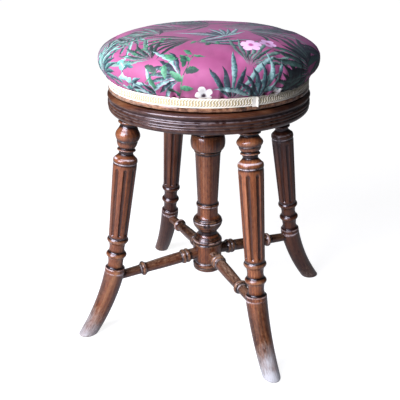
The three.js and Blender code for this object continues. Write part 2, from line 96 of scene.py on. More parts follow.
def add(tree, kind, inputs=None, out=0, stops=None, **settings):
    """Adds a node with its settings and links, and returns one of its outputs.

    The inputs are a dict of sockets, or a list for the first sockets in order."""
    made = tree.nodes.new(kind)
    for name, value in settings.items():
        setattr(made, name, value)
    if isinstance(inputs, list):
        inputs = dict(enumerate(inputs))
    for socket, value in (inputs or {}).items():
        if isinstance(value, bpy.types.NodeSocket):
            tree.links.new(value, made.inputs[socket])
        else:
            made.inputs[socket].default_value = value
    for index, (place, colour) in enumerate(stops or []):
        elements = made.color_ramp.elements
        stop = elements[index] if index < 2 else elements.new(place)
        stop.position = place
        stop.color = linear(colour)
    return made.outputs[out] if len(made.outputs) else None


def start_material(name):
    """A material with an empty node tree."""
    material = bpy.data.materials.new(name)
    material.use_nodes = True
    material.node_tree.nodes.clear()
    return material, material.node_tree


def object_of(name, work):
    """An object in the scene, made of the bmesh."""
    mesh = bpy.data.meshes.new(name)
    work.to_mesh(mesh)
    work.free()
    made = bpy.data.objects.new(name, mesh)
    scene.collection.objects.link(made)
    return made


def smoothly(low, high, value):
    """0 below low, 1 above high, and a smooth step between."""
    part = min(1.0, max(0.0, (value - low) / (high - low)))
    return part * part * (3 - 2 * part)


# %% [markdown]
# ## Camera
#
# The camera stands a little above the seat, to the left of the stool's front, and looks down on it. Its
# place, lens and small shift are those that put the feet, the rings of the legs and the seat's edges
# where the photograph has them.

# %% Camera
camera_azimuth = math.radians(-71.08)
camera_distance = 1.0139
camera_height = 0.6746
camera_heading = math.radians(18.92) + 0.0406
camera_pitch = 0.39
camera_roll = 0.0107
FOCAL_PIXELS, PICTURE_PIXELS, SENSOR = 615.62, 400, 36  # pixels, pixels and mm
camera_data = bpy.data.cameras.new("camera")
camera_data.sensor_width = SENSOR
camera_data.lens = FOCAL_PIXELS / PICTURE_PIXELS * SENSOR
camera_data.shift_x = 0.0384
camera_data.shift_y = -0.0534
camera = bpy.data.objects.new("camera", camera_data)
scene.collection.objects.link(camera)
camera_x = camera_distance * math.cos(camera_azimuth)
camera_y = camera_distance * math.sin(camera_azimuth)
camera.matrix_world = (
    Matrix.Translation((camera_x, camera_y, camera_height))
    @ Matrix.Rotation(camera_heading, 4, "Z")
    @ Matrix.Rotation(math.pi / 2 - camera_pitch, 4, "X")
    @ Matrix.Rotation(-camera_roll, 4, "Z")
)
scene.camera = camera
print("lens", round(camera_data.lens, 2), "mm")

# %% [markdown]
# ## Floor and light
#
# The stool stands in a pale room. A large window to its left gives the polish its long cool highlights,
# a patch of sky from the front left fills the shade, and a weak warm light comes from behind on the
# right. The lamps stay at the level at which a colour renders about as written. The floor is lifted to
# white by an emission that camera rays see in full and glossy rays a little, so it still takes the
# stool's shadow.

# %% Floor, lamps and world
floor_material, tree = start_material("white_painted_floor")
path = tree.nodes.new("ShaderNodeLightPath")
place = tree.nodes.new("ShaderNodeTexCoord").outputs["Object"]
away = add(tree, "ShaderNodeVectorMath", {0: place}, out="Value", operation="LENGTH")
level = add(
    tree,
    "ShaderNodeMapRange",
    {"Value": away, "From Min": 0.6, "From Max": 3, "To Min": 0.88},
)
faint = add(tree, "ShaderNodeMath", [path.outputs["Is Glossy Ray"], 0.1], operation="MULTIPLY")
lift = add(
    tree,
    "ShaderNodeMath",
    [path.outputs["Is Camera Ray"], level, faint],
    operation="MULTIPLY_ADD",
)
paint = add(tree, "ShaderNodeBsdfDiffuse", {"Color": linear("#a0a0a2")})
glow = add(tree, "ShaderNodeEmission", {"Color": (1, 1, 1, 1), "Strength": lift})
both = add(tree, "ShaderNodeAddShader", {0: paint, 1: glow})
add(tree, "ShaderNodeOutputMaterial", {"Surface": both})

floor_mesh = bmesh.new()
bmesh.ops.create_grid(floor_mesh, x_segments=1, y_segments=1, size=14)
floor = object_of("floor", floor_mesh)
floor.data.materials.append(floor_material)
floor.location.z = -0.5 * MM
floor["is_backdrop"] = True

world = bpy.data.worlds.new("pale_room")
scene.world = world
world.use_nodes = True
tree = world.node_tree
tree.nodes.clear()
path = tree.nodes.new("ShaderNodeLightPath")
seen = add(
    tree,
    "ShaderNodeMath",
    [path.outputs["Is Camera Ray"], path.outputs["Is Transmission Ray"]],
    operation="MAXIMUM",
)
room = add(tree, "ShaderNodeBackground", {"Color": linear("#eef0f6"), "Strength": 0.03})
white = add(tree, "ShaderNodeBackground", {"Color": (1, 1, 1, 1), "Strength": 1.0})
mixed = add(tree, "ShaderNodeMixShader", {0: seen, 1: room, 2: white})
add(tree, "ShaderNodeOutputWorld", {"Surface": mixed})

# name, azimuth in degrees, height, distance, width and height of the pane in metres, watts, colour
lamps = [
    ("window_light", -118, 0.92, 1.2, 0.85, 0.9, 44, "#f2f2ff"),
    ("sky_light", -87, 1.6, 1.3, 0.8, 0.6, 13, "#e2eaff"),
    ("back_light", 122, 1.5, 1.9, 1.3, 1.0, 5, "#fff8f0"),
]
target = Vector((0, 0, 0.3))
for name, azimuth, height, distance, width, tall, power, colour in lamps:
    data = bpy.data.lights.new(name, "AREA")
    data.shape = "RECTANGLE"
    data.size = width
    data.size_y = tall
    data.energy = power
    data.color = linear(colour)[:3]
    lamp = bpy.data.objects.new(name, data)
    angle = math.radians(azimuth)
    lamp.location = (distance * math.cos(angle), distance * math.sin(angle), height)
    lamp.rotation_euler = (target - lamp.location).to_track_quat("-Z", "Y").to_euler()
    scene.collection.objects.link(lamp)
print("lamps:", [lamp[0] for lamp in lamps])

# %% [markdown]
# ## Polished wood
#
# The frame is walnut, turned on a lathe, stained and French polished, then worn for a century. The
# polish is a thin clear coat over brown wood with long grain, so the shader has a soft gloss of its own
# and a smoother coat on top. Each piece carries its grain as an attribute, so that the grain runs along
# a leg that leans. More attributes say where the turner left sharp edges, where dirt lies in the
# hollows with painted shade over it, how darkly the frame top was stained, how much painted shade
# darkens the back legs and the feet, where white polish has dried in the lines, where the feet have
# bleached, where the stretchers are paler along their tops, and where pale patches on the pillar and
# the lip are painted light. A mottling of wax and knocks goes over it all.

# %% French polished walnut
WOOD_FIGURE = (34, 260)  # mm across and along the broad bands of colour
WOOD_RINGS = (7, 900)  # mm across and along the growth rings
WOOD_PITH = (3.1, 1.7, 0)  # from the rings' middle to the piece's axis, in widths of a ring
WOOD_FIBRES = (1.2, 30)  # coarser than real bundles of fibres, so that they show
WOOD_PORES = (0.9, 9)
WOOD_SPECKS = (2.6, 9)  # of wax and knocks
WOOD_PATCH = 9  # mm across a rubbed or broken patch


def french_polished_walnut(name, deep, warm, pale):
    """Walnut under worn shellac, in three tones from the pores to the lightest wood."""
    material, tree = start_material(name)
    grain = add(tree, "ShaderNodeAttribute", out="Vector", attribute_name="grain")

    places = {}
    for size in (WOOD_FIGURE, WOOD_RINGS, WOOD_FIBRES, WOOD_PORES, WOOD_SPECKS):
        scale = (per(size[0]), per(size[0]), per(size[1]))
        pith = WOOD_PITH if size == WOOD_RINGS else (0, 0, 0)
        stretched = {"Vector": grain, "Location": pith, "Scale": scale}
        places[size] = add(tree, "ShaderNodeMapping", stretched)
    marks = {}
    for mark in ("dirt_and_shade", "bend", "stain_and_shade", "chalk", "bleach_and_light"):
        marks[mark] = add(tree, "ShaderNodeAttribute", out="Fac", attribute_name=mark)
    figure = add(
        tree,
        "ShaderNodeTexNoise",
        {"Vector": places[WOOD_FIGURE], "Scale": 1, "Detail": 3, "Distortion": 0.6},
    )
    rings = add(
        tree,
        "ShaderNodeTexWave",
        {"Vector": places[WOOD_RINGS], "Scale": 0.5, "Distortion": 5, "Detail": 2, "Detail Scale": 0.6},
        out="Fac",
        wave_type="RINGS",
        rings_direction="Z",
    )
    fibre = add(
        tree,
        "ShaderNodeTexNoise",
        {"Vector": places[WOOD_FIBRES], "Scale": 1, "Detail": 4, "Roughness": 0.65},
    )
    tone = add(tree, "ShaderNodeMath", [figure, 0.8], operation="MULTIPLY")
    tone = add(tree, "ShaderNodeMath", [rings, 0.06, tone], operation="MULTIPLY_ADD")
    tone = add(tree, "ShaderNodeMath", [fibre, 0.09, tone], operation="MULTIPLY_ADD")
    wood = add(
        tree,
        "ShaderNodeValToRGB",
        {"Fac": tone},
        stops=[(0.36, deep), (0.72, pale), (0.55, warm)],
    )
    pore = add(tree, "ShaderNodeTexNoise", {"Vector": places[WOOD_PORES], "Scale": 1, "Detail": 1})
    pore = add(
        tree,
        "ShaderNodeMapRange",
        {"Value": pore, "From Min": 0.6, "From Max": 0.72, "To Max": 0.35},
    )
    wood = add(tree, "ShaderNodeMix", {0: pore, 6: wood, 7: linear(deep)}, out=2, data_type="RGBA")
    # A century of wax and knocks has mottled it, dark in some specks and rubbed pale in others.
    mottle = add(
        tree,
        "ShaderNodeTexNoise",
        {"Vector": places[WOOD_SPECKS], "Scale": 1, "Detail": 5, "Roughness": 0.75},
    )
    dark_specks = add(
        tree,
        "ShaderNodeMapRange",
        {"Value": mottle, "From Min": 0.5, "From Max": 0.72, "To Max": 0.7},
    )
    wood = add(
        tree,
        "ShaderNodeMix",
        {0: dark_specks, 6: wood, 7: linear("#1c0e08")},
        out=2,
        data_type="RGBA",
    )
    pale_specks = add(
        tree,
        "ShaderNodeMapRange",
        {"Value": mottle, "From Min": 0.46, "From Max": 0.26, "To Max": 0.5},
    )
    wood = add(
        tree,
        "ShaderNodeMix",
        {0: pale_specks, 6: wood, 7: linear("#a0764c")},
        out=2,
        data_type="RGBA",
    )
    # Dirt and old polish fill the hollows between the turned edges, and the flutes; the same darkening is
    # also painted shade in these recesses.
    hollow = add(tree, "ShaderNodeMath", [mottle, 0.5, 0.95], operation="MULTIPLY_ADD")
    hollow = add(
        tree,
        "ShaderNodeMath",
        [hollow, marks["dirt_and_shade"]],
        operation="MULTIPLY",
        use_clamp=True,
    )
    wood = add(
        tree,
        "ShaderNodeMix",
        {0: hollow, 6: wood, 7: linear("#120806")},
        out=2,
        data_type="RGBA",
    )
    # The edges are rubbed through to lighter wood, here and there.
    patches = add(
        tree,
        "ShaderNodeTexNoise",
        {"Vector": grain, "Scale": per(WOOD_PATCH), "Detail": 4, "Roughness": 0.7},
    )
    crest = add(
        tree,
        "ShaderNodeMapRange",
        {"Value": marks["bend"], "From Min": 0.15, "From Max": 0.7, "To Max": 0.85},
    )
    rubbed = add(tree, "ShaderNodeMapRange", {"Value": patches, "From Min": 0.4, "From Max": 0.62})
    rubbed = add(tree, "ShaderNodeMath", [crest, rubbed], operation="MULTIPLY")
    wood = add(
        tree,
        "ShaderNodeMix",
        {0: rubbed, 6: wood, 7: linear("#a87c5c")},
        out=2,
        data_type="RGBA",
    )
    # The frame top took the stain more darkly; on the back legs and the feet the same darkening is
    # painted shade.
    wood = add(
        tree,
        "ShaderNodeMix",
        {0: marks["stain_and_shade"], 6: wood, 7: linear("#2c140d")},
        out=2,
        data_type="RGBA",
    )
    # White lines of dried polish, and the pale bruised edges of collars and lip.
    broken = add(tree, "ShaderNodeMapRange", {"Value": patches, "From Min": 0.38, "From Max": 0.56})
    chalk = add(
        tree,
        "ShaderNodeMath",
        [marks["chalk"], broken],
        operation="MULTIPLY",
        use_clamp=True,
    )
    wood = add(
        tree,
        "ShaderNodeMix",
        {0: chalk, 6: wood, 7: linear("#d8c9cb")},
        out=2,
        data_type="RGBA",
    )
    # The feet have lost their polish and bleached to grey, and the same pale mix paints light on a patch
    # of the pillar and on the lip.
    bleach_and_light = marks["bleach_and_light"]
    bared_and_lit = add(tree, "ShaderNodeMath", [mottle, -1.5, bleach_and_light], operation="MULTIPLY_ADD")
    bared_and_lit = add(tree, "ShaderNodeMapRange", {"Value": bared_and_lit, "From Min": -0.45, "From Max": 0.3})
    bared_and_lit_colour = add(
        tree,
        "ShaderNodeValToRGB",
        {"Fac": bleach_and_light},
        stops=[(0.3, "#a5805c"), (1.0, "#c6c8ca"), (0.62, "#a09a96")],
    )
    mostly_bared_and_lit = add(tree, "ShaderNodeMath", [bared_and_lit, 0.9], operation="MULTIPLY")
    wood = add(tree, "ShaderNodeMix", {0: mostly_bared_and_lit, 6: wood, 7: bared_and_lit_colour}, out=2, data_type="RGBA")
    dulled = add(tree, "ShaderNodeMath", [chalk, bared_and_lit], operation="MAXIMUM")
    gloss = add(
        tree,
        "ShaderNodeMapRange",
        {"Value": patches, "From Min": 0.3, "From Max": 0.7, "To Min": 0.26, "To Max": 0.42},
    )
    roughness = add(tree, "ShaderNodeMath", [dulled, 0.35, gloss], operation="MULTIPLY_ADD")
    bump = add(tree, "ShaderNodeMath", [pore, -0.8, fibre], operation="MULTIPLY_ADD")
    bump = add(tree, "ShaderNodeBump", {"Height": bump, "Strength": 0.35, "Distance": 0.12 * MM})
    look = {
        "Base Color": wood,
        "Roughness": roughness,
        "IOR": 1.5,
        "Normal": bump,
        "Specular Tint": linear("#d2c8da"),
        "Coat Weight": 0.6,
        "Coat Roughness": 0.12,
    }
    shader = add(tree, "ShaderNodeBsdfPrincipled", look)
    add(tree, "ShaderNodeOutputMaterial", {"Surface": shader})
    return material


walnut = french_polished_walnut("french_polished_walnut", "#381a0e", "#8a4f2d", "#c4895a")
dark_walnut = french_polished_walnut("dark_french_polished_walnut", "#28130b", "#5e331f", "#8c5d35")

# %% [markdown]
# ## Iron and steel
#
# The screw, its nut and the flange are forged and cut iron, dark with old oil, and the wood screws are
# steel that has dulled. Both are metals, so their colour is in the reflection, and fine marks in the
# roughness break it up.

# %% Oiled iron and dulled steel


def worked_metal(name, dark, bright, low_gloss, high_gloss):
    """Bare metal with a mottled film of oil and rust."""
    material, tree = start_material(name)
    place = tree.nodes.new("ShaderNodeTexCoord").outputs["Object"]
    mottle = add(
        tree,
        "ShaderNodeTexNoise",
        {"Vector": place, "Scale": per(7), "Detail": 5, "Roughness": 0.7},
    )
    marks = add(tree, "ShaderNodeTexNoise", {"Vector": place, "Scale": per(0.8), "Detail": 2})
    colour = add(tree, "ShaderNodeValToRGB", {"Fac": mottle}, stops=[(0.35, dark), (0.65, bright)])
    gloss = add(
        tree,
        "ShaderNodeMapRange",
        {
            "Value": mottle,
            "From Min": 0.3,
            "From Max": 0.7,
            "To Min": low_gloss,
            "To Max": high_gloss,
        },
    )
    bump = add(tree, "ShaderNodeBump", {"Height": marks, "Strength": 0.25, "Distance": 0.1 * MM})
    look = {"Base Color": colour, "Roughness": gloss, "Metallic": 1.0, "Normal": bump}
    shader = add(tree, "ShaderNodeBsdfPrincipled", look)
    add(tree, "ShaderNodeOutputMaterial", {"Surface": shader})
    return material


iron = worked_metal("oiled_wrought_iron", "#2e2a28", "#6a6560", 0.3, 0.55)
steel = worked_metal("dulled_steel", "#6e6963", "#a39e96", 0.25, 0.45)

# %% [markdown]
# ## Turned shapes
#
# A turner works from a list of heights and radii. The same list makes the mesh: its points are joined
# into an outline, each sharp corner is eased a little as sandpaper does, and the outline is spun round
# the axis. A swell in a row rounds the stretch up to it into a bead or a hollow.

# %% Outline and lathe
CORNER = 0.4  # mm by which a corner is eased
SHARP = math.radians(14)  # the turn from which a corner counts as sharp
CREASE = math.radians(50)  # the angle between faces from which an edge is shaded sharp
HOLLOW_BEND = -0.22  # radians at a point's edges, together, from which it counts as hollow
HOLLOW_REACH = 3.0  # mm from a hollow corner over which its dirt and painted shade fade


def outline_from(rows, step_mm=1.2):
    """Points (radius, height) in mm, from rows of height, radius and swell."""
    points = [(rows[0][1], rows[0][0])]
    for row in rows[1:]:
        last_radius, last_height = points[-1]
        height, radius, swell = (*row, 0)[:3]
        if swell:
            length = math.hypot(height - last_height, radius - last_radius) + 2 * abs(swell)
            steps = max(5, round(length / step_mm))
            for step in range(1, steps):
                part = step / steps
                out = last_radius + (radius - last_radius) * part + swell * math.sin(math.pi * part)
                points.append((out, last_height + (height - last_height) * part))
        points.append((radius, height))
    return points


def eased(points, closed=False):
    """The outline with each sharp corner cut back a little, and a point between."""
    made = []
    last = len(points) - 1
    for index, here in enumerate(points):
        if index in (0, last) and not closed:
            made.append(here)
            continue
        before = Vector(points[index - 1]) - Vector(here)
        after = Vector(points[(index + 1) % len(points)]) - Vector(here)
        if min(before.length, after.length) < 1e-6 or before.angle(-after, 0) < SHARP:
            made.append(here)
            continue
        first = Vector(here) + before * min(0.45, CORNER / before.length)
        second = Vector(here) + after * min(0.45, CORNER / after.length)
        middle = (first + second + Vector(here)) / 3
        made.extend([tuple(first), tuple(middle), tuple(second)])
    return made


def held(points, closed=False):
    """The outline with points near each end of its long stretches, so that lines, dirt and painted shade
    stay narrow.
    """
    made = []
    pairs = list(zip(points, points[1:] + points[:1])) if closed else list(zip(points, points[1:]))
    for here, after in pairs:
        made.append(here)
        stretch = Vector(after) - Vector(here)
        near = [inset for inset in (1.0, 2.5, 4.5) if stretch.length > 2.6 * inset]
        made.extend(tuple(Vector(here) + stretch.normalized() * inset) for inset in near)
        made.extend(tuple(Vector(after) - stretch.normalized() * inset) for inset in reversed(near))
    return made if closed else made + [points[-1]]


def spin_round(work, geom, steps):
    """Spins the points and lines once about Z."""
    bmesh.ops.spin(
        work,
        geom=geom,
        cent=(0, 0, 0),
        axis=(0, 0, 1),
        angle=2 * math.pi,
        steps=steps,
        use_merge=True,
    )


def lathe(points, steps, closed=False):
    """A bmesh spun about Z from an outline that starts and ends on the axis, or that closes."""
    work = bmesh.new()
    ring = [work.verts.new((radius * MM, 0, height * MM)) for radius, height in points]
    lines = [work.edges.new(pair) for pair in zip(ring, ring[1:])]
    if closed:
        lines.append(work.edges.new((ring[-1], ring[0])))
    spin_round(work, ring + lines, steps)
    bmesh.ops.remove_doubles(work, verts=work.verts, dist=0.002 * MM)
    bmesh.ops.recalc_face_normals(work, faces=work.faces)
    return work


def join(work, other):
    """Adds another bmesh to this one."""
    mesh = bpy.data.meshes.new("joined")
    other.to_mesh(mesh)
    other.free()
    work.from_mesh(mesh)
    bpy.data.meshes.remove(mesh)


def lift_up(work, height):
    """Moves the mesh up by a height in mm."""
    bmesh.ops.translate(work, verts=work.verts, vec=(0, 0, height * MM))


def mark_wood(work, shift=0.0, along="Z", chalk_lines=(), bleach_and_light=None, stain_and_shade=0.0):
    """Stores where the wood's grain runs, how sharply the surface bends, how it has worn, and where shade
    and light are painted on it.
    """
    grain = work.verts.layers.float_vector.new("grain")
    bend = work.verts.layers.float.new("bend")
    chalk = work.verts.layers.float.new("chalk")
    pale = work.verts.layers.float.new("bleach_and_light")
    dirt_and_shade = work.verts.layers.float.new("dirt_and_shade")
    stain_and_shade_layer = work.verts.layers.float.new("stain_and_shade")
    flute_dirt_and_shade = work.verts.layers.float.get("flute_dirt_and_shade")
    work.verts.ensure_lookup_table()
    bends = np.array(
        [sum(edge.calc_face_angle_signed(0) for edge in vert.link_edges) for vert in work.verts]
    )
    outline = np.array([(vert.co.xy.length, vert.co.z) for vert in work.verts]) / MM
    hollows = np.unique(np.round(outline[bends < HOLLOW_BEND], 1), axis=0)
    gaps = np.full(len(outline), math.inf)
    for hollow in hollows:
        gaps = np.minimum(gaps, np.hypot(*(outline - hollow).T))
    near_hollow_dirt_and_shade = 0.95 * np.exp(-((gaps / HOLLOW_REACH) ** 1.5))
    for index, vert in enumerate(work.verts):
        x, y, z = vert.co
        place = (x, y, z) if along == "Z" else (y, z, x)
        vert[grain] = Vector(place) + Vector((shift, 0.7 * shift, shift))
        vert[bend] = bends[index]
        # Dirt in the hollows and the flutes, which is also painted shade there.
        vert[dirt_and_shade] = max(near_hollow_dirt_and_shade[index], vert[flute_dirt_and_shade]) if flute_dirt_and_shade else near_hollow_dirt_and_shade[index]
        vert[stain_and_shade_layer] = stain_and_shade
        for height, width, strength in chalk_lines:
            vert[chalk] += strength * math.exp(-(((z / MM - height) / width) ** 2))
        vert[pale] = bleach_and_light(vert.co) if bleach_and_light else 0.0


def finish_piece(name, work, material, body, nodes):
    """Makes a smooth object of the bmesh, its sharp edges kept, that rides in place of its solids."""
    for face in work.faces:
        face.smooth = True
    for edge in work.edges:
        edge.smooth = edge.calc_face_angle(0) < CREASE
    made = object_of(name, work)
    made.data.materials.append(material)
    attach(made, body)
    if nodes:
        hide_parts(*nodes)
    print(name, len(made.data.polygons), "faces")


# %% [markdown]
# ## Frame top
#
# A round block of walnut with a moulded edge: a bead at the bottom, two reeds, a hollow and a big
# half-round above. Its top has a shallow well, where the iron flange under the seat drops in, and
# the pillar's socket is below.

# %% Frame top
FRAME_SIDES = 192
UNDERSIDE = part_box("frame_top")[0].z / MM
# height above the underside, radius and swell, in mm
frame_edge = [
    (0.0, 164.4),
    (8.2, 167.4, 1.7),
    (8.8, 166.3),
    (9.2, 167.6),
    (12.9, 167.6, 1.1),
    (13.4, 166.4),
    (13.8, 167.4),
    (18.1, 167.2, 1.2),
    (18.7, 165.4),
    (21.3, 165.4, -0.5),
    (21.9, 166.1),
    (31.5, 163.8, 3.5),
]
frame_rows = outline_from(frame_edge)
frame_inside = [(60.0, 31.5), (60.0, 19.0), (15.0, 19.0), (15.0, 9.8), (22.3, 9.8), (22.3, 0.0)]
frame_outline = held(eased(frame_rows + frame_inside, closed=True), closed=True)
work = lathe(frame_outline, FRAME_SIDES, closed=True)
mark_wood(
    work,
    shift=0.31,
    along="X",
    chalk_lines=[(13.4, 0.5, 0.2), (18.7, 0.6, 0.2), (8.8, 0.5, 0.2)],
    stain_and_shade=0.72,
)
lift_up(work, UNDERSIDE)
finish_piece("moulded_frame_top", work, walnut, "frame", ["frame_top"])

# %% [markdown]
# ## Pillar
#
# The pillar hangs from the frame top and hides the screw. Its outline has a bulb at the top, a tapered
# shaft, a ring, a flare with a sharp rim, a second flare that ends in a bead, the drum that takes the
# stretchers, and a flat foot. It is bored for the nut and the screw.

# %% Pillar
PILLAR_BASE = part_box("pillar")[0].z / MM
PILLAR_SIDES = 96
# height above the lower end, radius and swell, in mm
pillar_rows = [
    (0.0, 22.8),
    (1.2, 24.7, 0.2),
    (3.0, 25.9, 0.3),
    (6.6, 26.3, 0.2),
    (7.3, 25.7),
    (8.0, 26.5),
    (15.6, 25.6, 1.0),
    (16.6, 24.5),
    (17.4, 24.4),
    (18.6, 25.9),
    (50.6, 26.8),
    (54.6, 26.1, 0.35),
    (55.4, 25.3),
    (56.4, 25.4),
    (57.2, 26.4),
    (61.4, 26.0, 0.55),
    (62.0, 25.0),
    (62.8, 24.9),
    (66.4, 22.6, -0.15),
    (66.9, 21.9),
    (67.6, 21.6),
    (73.6, 17.3, -0.7),
    (77.4, 16.7),
    (79.4, 17.8),
    (84.6, 21.9, 0.15),
    (85.2, 21.7),
    (85.9, 22.7),
    (93.6, 26.3, 0.5),
    (94.4, 25.9),
    (95.2, 26.6),
    (98.0, 26.9, 0.3),
    (98.6, 26.9),
    (99.4, 26.1),
    (103.4, 24.3, 0.6),
    (103.9, 23.5),
    (104.6, 23.3),
    (110.5, 18.9, -0.6),
    (124.2, 18.5),
    (125.2, 19.0),
    (129.2, 20.6, 0.1),
    (129.9, 20.6),
    (134.4, 18.3, 0.9),
    (230.4, 22.5),
    (230.9, 23.5),
    (234.2, 23.8, 0.45),
    (234.8, 23.3),
    (235.4, 25.3),
    (239.4, 28.6, 0.35),
    (245.4, 30.2, 0.3),
    (252.0, 30.3, 0.15),
    (259.0, 29.2, 0.2),
    (263.6, 27.2, 0.3),
    (264.4, 25.2),
    (267.6, 25.0),
    (275.0, 21.4, -0.5),
    (293.0, 21.4, -0.4),
    (301.6, 24.4, -0.6),
    (302.4, 27.4),
    (313.7, 28.8, 0.9),
]
pillar_inside = [
    (22.0, 313.7),
    (22.0, 323.5),
    (14.8, 323.5),
    (14.8, 288.7),
    (13.3, 288.7),
    (13.3, 158.0),
    (0.0, 158.0),
]
pillar_outline = [(0.0, 0.0)] + held(eased(outline_from(pillar_rows) + pillar_inside))
work = lathe(pillar_outline, PILLAR_SIDES)


def pillar_painted_light(place):
    """A pale patch high on the left of the shaft, on its side toward the window, painted as light."""
    around = math.atan2(place.y, place.x) + math.radians(112)
    return 0.42 * math.exp(-((around / 0.5) ** 2)) * math.exp(-(((place.z / MM - 197) / 45) ** 2))


# height in mm, width in mm and strength of the pale lines
pillar_chalk = [
    (129.6, 0.6, 0.9),
    (98.4, 0.6, 0.75),
    (60.2, 0.9, 0.35),
    (17.0, 0.6, 0.5),
    (1.4, 1.0, 0.6),
]
mark_wood(work, shift=0.12, bleach_and_light=pillar_painted_light, chalk_lines=pillar_chalk)
lift_up(work, PILLAR_BASE)
finish_piece("turned_pillar", work, walnut, "frame", ["pillar"])

# %% [markdown]
# ## Legs
#
# Each leg is turned from collar to bulb and leans outwards. Eight flutes with round ends are carved
# down its tapered shaft, and below the collar it sweeps out into a plain sabre foot. The foot is a
# straight taper first, bent to its curve by moving its rings, with the last rings lying flat for the
# floor. The front right leg was turned a little differently: its neck and bulb sit higher.

# %% Legs
LEG_TILT = math.radians(8.33)
LEG_TOP_RADIUS = 140.4
COLLAR_HEIGHT = UNDERSIDE - 279.0
LEG_RADIUS = 20.2
TURNED_LENGTH = (UNDERSIDE - COLLAR_HEIGHT) / math.cos(LEG_TILT)
COLLAR_RADIUS = LEG_TOP_RADIUS + TURNED_LENGTH * math.sin(LEG_TILT)
FLUTES = 8
FLUTE_COLUMNS = 16  # columns of faces from one flute to the next, of which the flute takes half
FLUTE_HALF, FLUTE_DEPTH = 3.9, 2.7  # mm of half the width, and of depth
FLUTE_SHARES = (0.254, 0.686)  # where the flutes start and end, in shares of the turned length
FOOT_TILT, TOE_TILT = math.radians(16.5), math.radians(36)
FOOT_BEND = COLLAR_HEIGHT / (math.sin(TOE_TILT) - math.sin(FOOT_TILT))
FOOT_LENGTH = FOOT_BEND * (TOE_TILT - FOOT_TILT)
FOOT_SIDES = 48
HEAD_SHARE, NECK_SHARE = 0.699, 0.803  # where the head and its neck start
# shares of the turned length and of the largest radius, and the swell's share of that radius
leg_shares = [
    (0.0, 0.871),
    (0.029, 0.856),
    (0.038, 0.718),
    (0.063, 0.639, -0.015),
    (0.097, 0.693, -0.01),
    (0.106, 0.752),
    (0.138, 0.752, 0.124),
    (0.143, 0.693),
    (0.17, 0.649, -0.015),
    (0.197, 0.708, -0.01),
    (0.204, 0.782),
    (0.237, 0.807, 0.114),
    (0.244, 0.797),
    (0.699, 0.99),
    (0.717, 0.965),
    (0.722, 1.0),
    (0.739, 0.985, 0.012),
    (0.744, 0.945, 0.006),
    (0.747, 0.89),
    (0.772, 0.579, -0.02),
    (0.789, 0.614),
    (0.792, 0.743),
    (0.799, 0.743, 0.02),
    (0.806, 0.639),
    (0.848, 0.856, 0.045),
    (0.851, 0.842),
    (0.857, 0.901),
    (0.918, 0.822, 0.149),
    (0.939, 0.683),
    (0.952, 0.703),
    (0.955, 0.856),
    (0.966, 0.856, 0.02),
    (0.97, 0.743),
    (1.0, 0.767),
]


def raised_share(share, rise):
    """Where a share of the leg's height goes on a leg whose head was turned higher."""
    if share < HEAD_SHARE:
        return share
    return share + rise * min(1.0, (1 - share) / (1 - NECK_SHARE))


def turned_leg(rise):
    """The turned part of a leg on the Z axis, from its collar's edge at 0, with its flutes."""
    rows = []
    for share, *widths in leg_shares:
        radii = [LEG_RADIUS * width for width in widths]
        rows.append((TURNED_LENGTH * raised_share(share, rise), *radii))
    outline = held(eased(outline_from(rows)))
    flute_low = FLUTE_SHARES[0] * TURNED_LENGTH + FLUTE_HALF
    flute_high = (FLUTE_SHARES[1] + rise) * TURNED_LENGTH - FLUTE_HALF
    cut = max(range(len(outline) - 1), key=lambda place: outline[place + 1][1] - outline[place][1])
    low_radius, low_height = outline[cut]
    high_radius, high_height = outline[cut + 1]
    shaft = []
    height = low_height
    while height < high_height - 1.5:
        near_end = min(abs(height - flute_low), abs(height - flute_high)) < 1.6 * FLUTE_HALF
        height += 0.6 if near_end else 3.0
        part = (height - low_height) / (high_height - low_height)
        shaft.append((low_radius + (high_radius - low_radius) * part, height))
    outline = [(0.0, 0.0), *outline[: cut + 1], *shaft, *outline[cut + 1 :]]
    outline.append((0.0, outline[-1][1]))
    work = lathe(outline, FLUTES * FLUTE_COLUMNS)
    column = 2 * math.pi / (FLUTES * FLUTE_COLUMNS)
    flute_dirt_and_shade = work.verts.layers.float.new("flute_dirt_and_shade")
    for vert in work.verts:
        x, y, z = vert.co / MM
        radius = math.hypot(x, y)
        if not flute_low - FLUTE_HALF < z < flute_high + FLUTE_HALF or radius < 1:
            continue
        angle = math.atan2(y, x)
        across = abs(round(angle / column) % FLUTE_COLUMNS - FLUTE_COLUMNS / 2) / (FLUTE_COLUMNS / 4)
        beyond = max(0.0, flute_low - z, z - flute_high) / FLUTE_HALF
        share = math.hypot(across, beyond)
        if share < 0.99:
            sunk = FLUTE_DEPTH * (1 - share**3) ** 0.6
            # The flute's floor is darkened, as dirt and as painted shade.
            vert[flute_dirt_and_shade] = 0.58 * (1 - share**3) ** 0.4
            vert.co.x -= sunk * MM * math.cos(angle)
            vert.co.y -= sunk * MM * math.sin(angle)
    return work


def sabre_foot():
    """The foot on the Z axis, going down from 0, bent into the leg's place in the X-Z plane."""
    thick, thin, toe_ease, rings = 17.6, 14.2, 4.0, 34
    straight = FOOT_LENGTH - toe_ease
    points = [(0.0, 1.5), (thick, 1.5), (thick, 0.0), (thick, -0.8)]
    for ring in range(1, rings + 1):
        part = ring / rings
        points.append((thick + (thin - thick) * part, -part * straight))
    for turn in (22, 45, 68, 90):
        angle = math.radians(turn)
        points.append((thin - toe_ease * (1 - math.cos(angle)), -straight - toe_ease * math.sin(angle)))
    return lathe([*points, (0.0, -FOOT_LENGTH)], FOOT_SIDES)


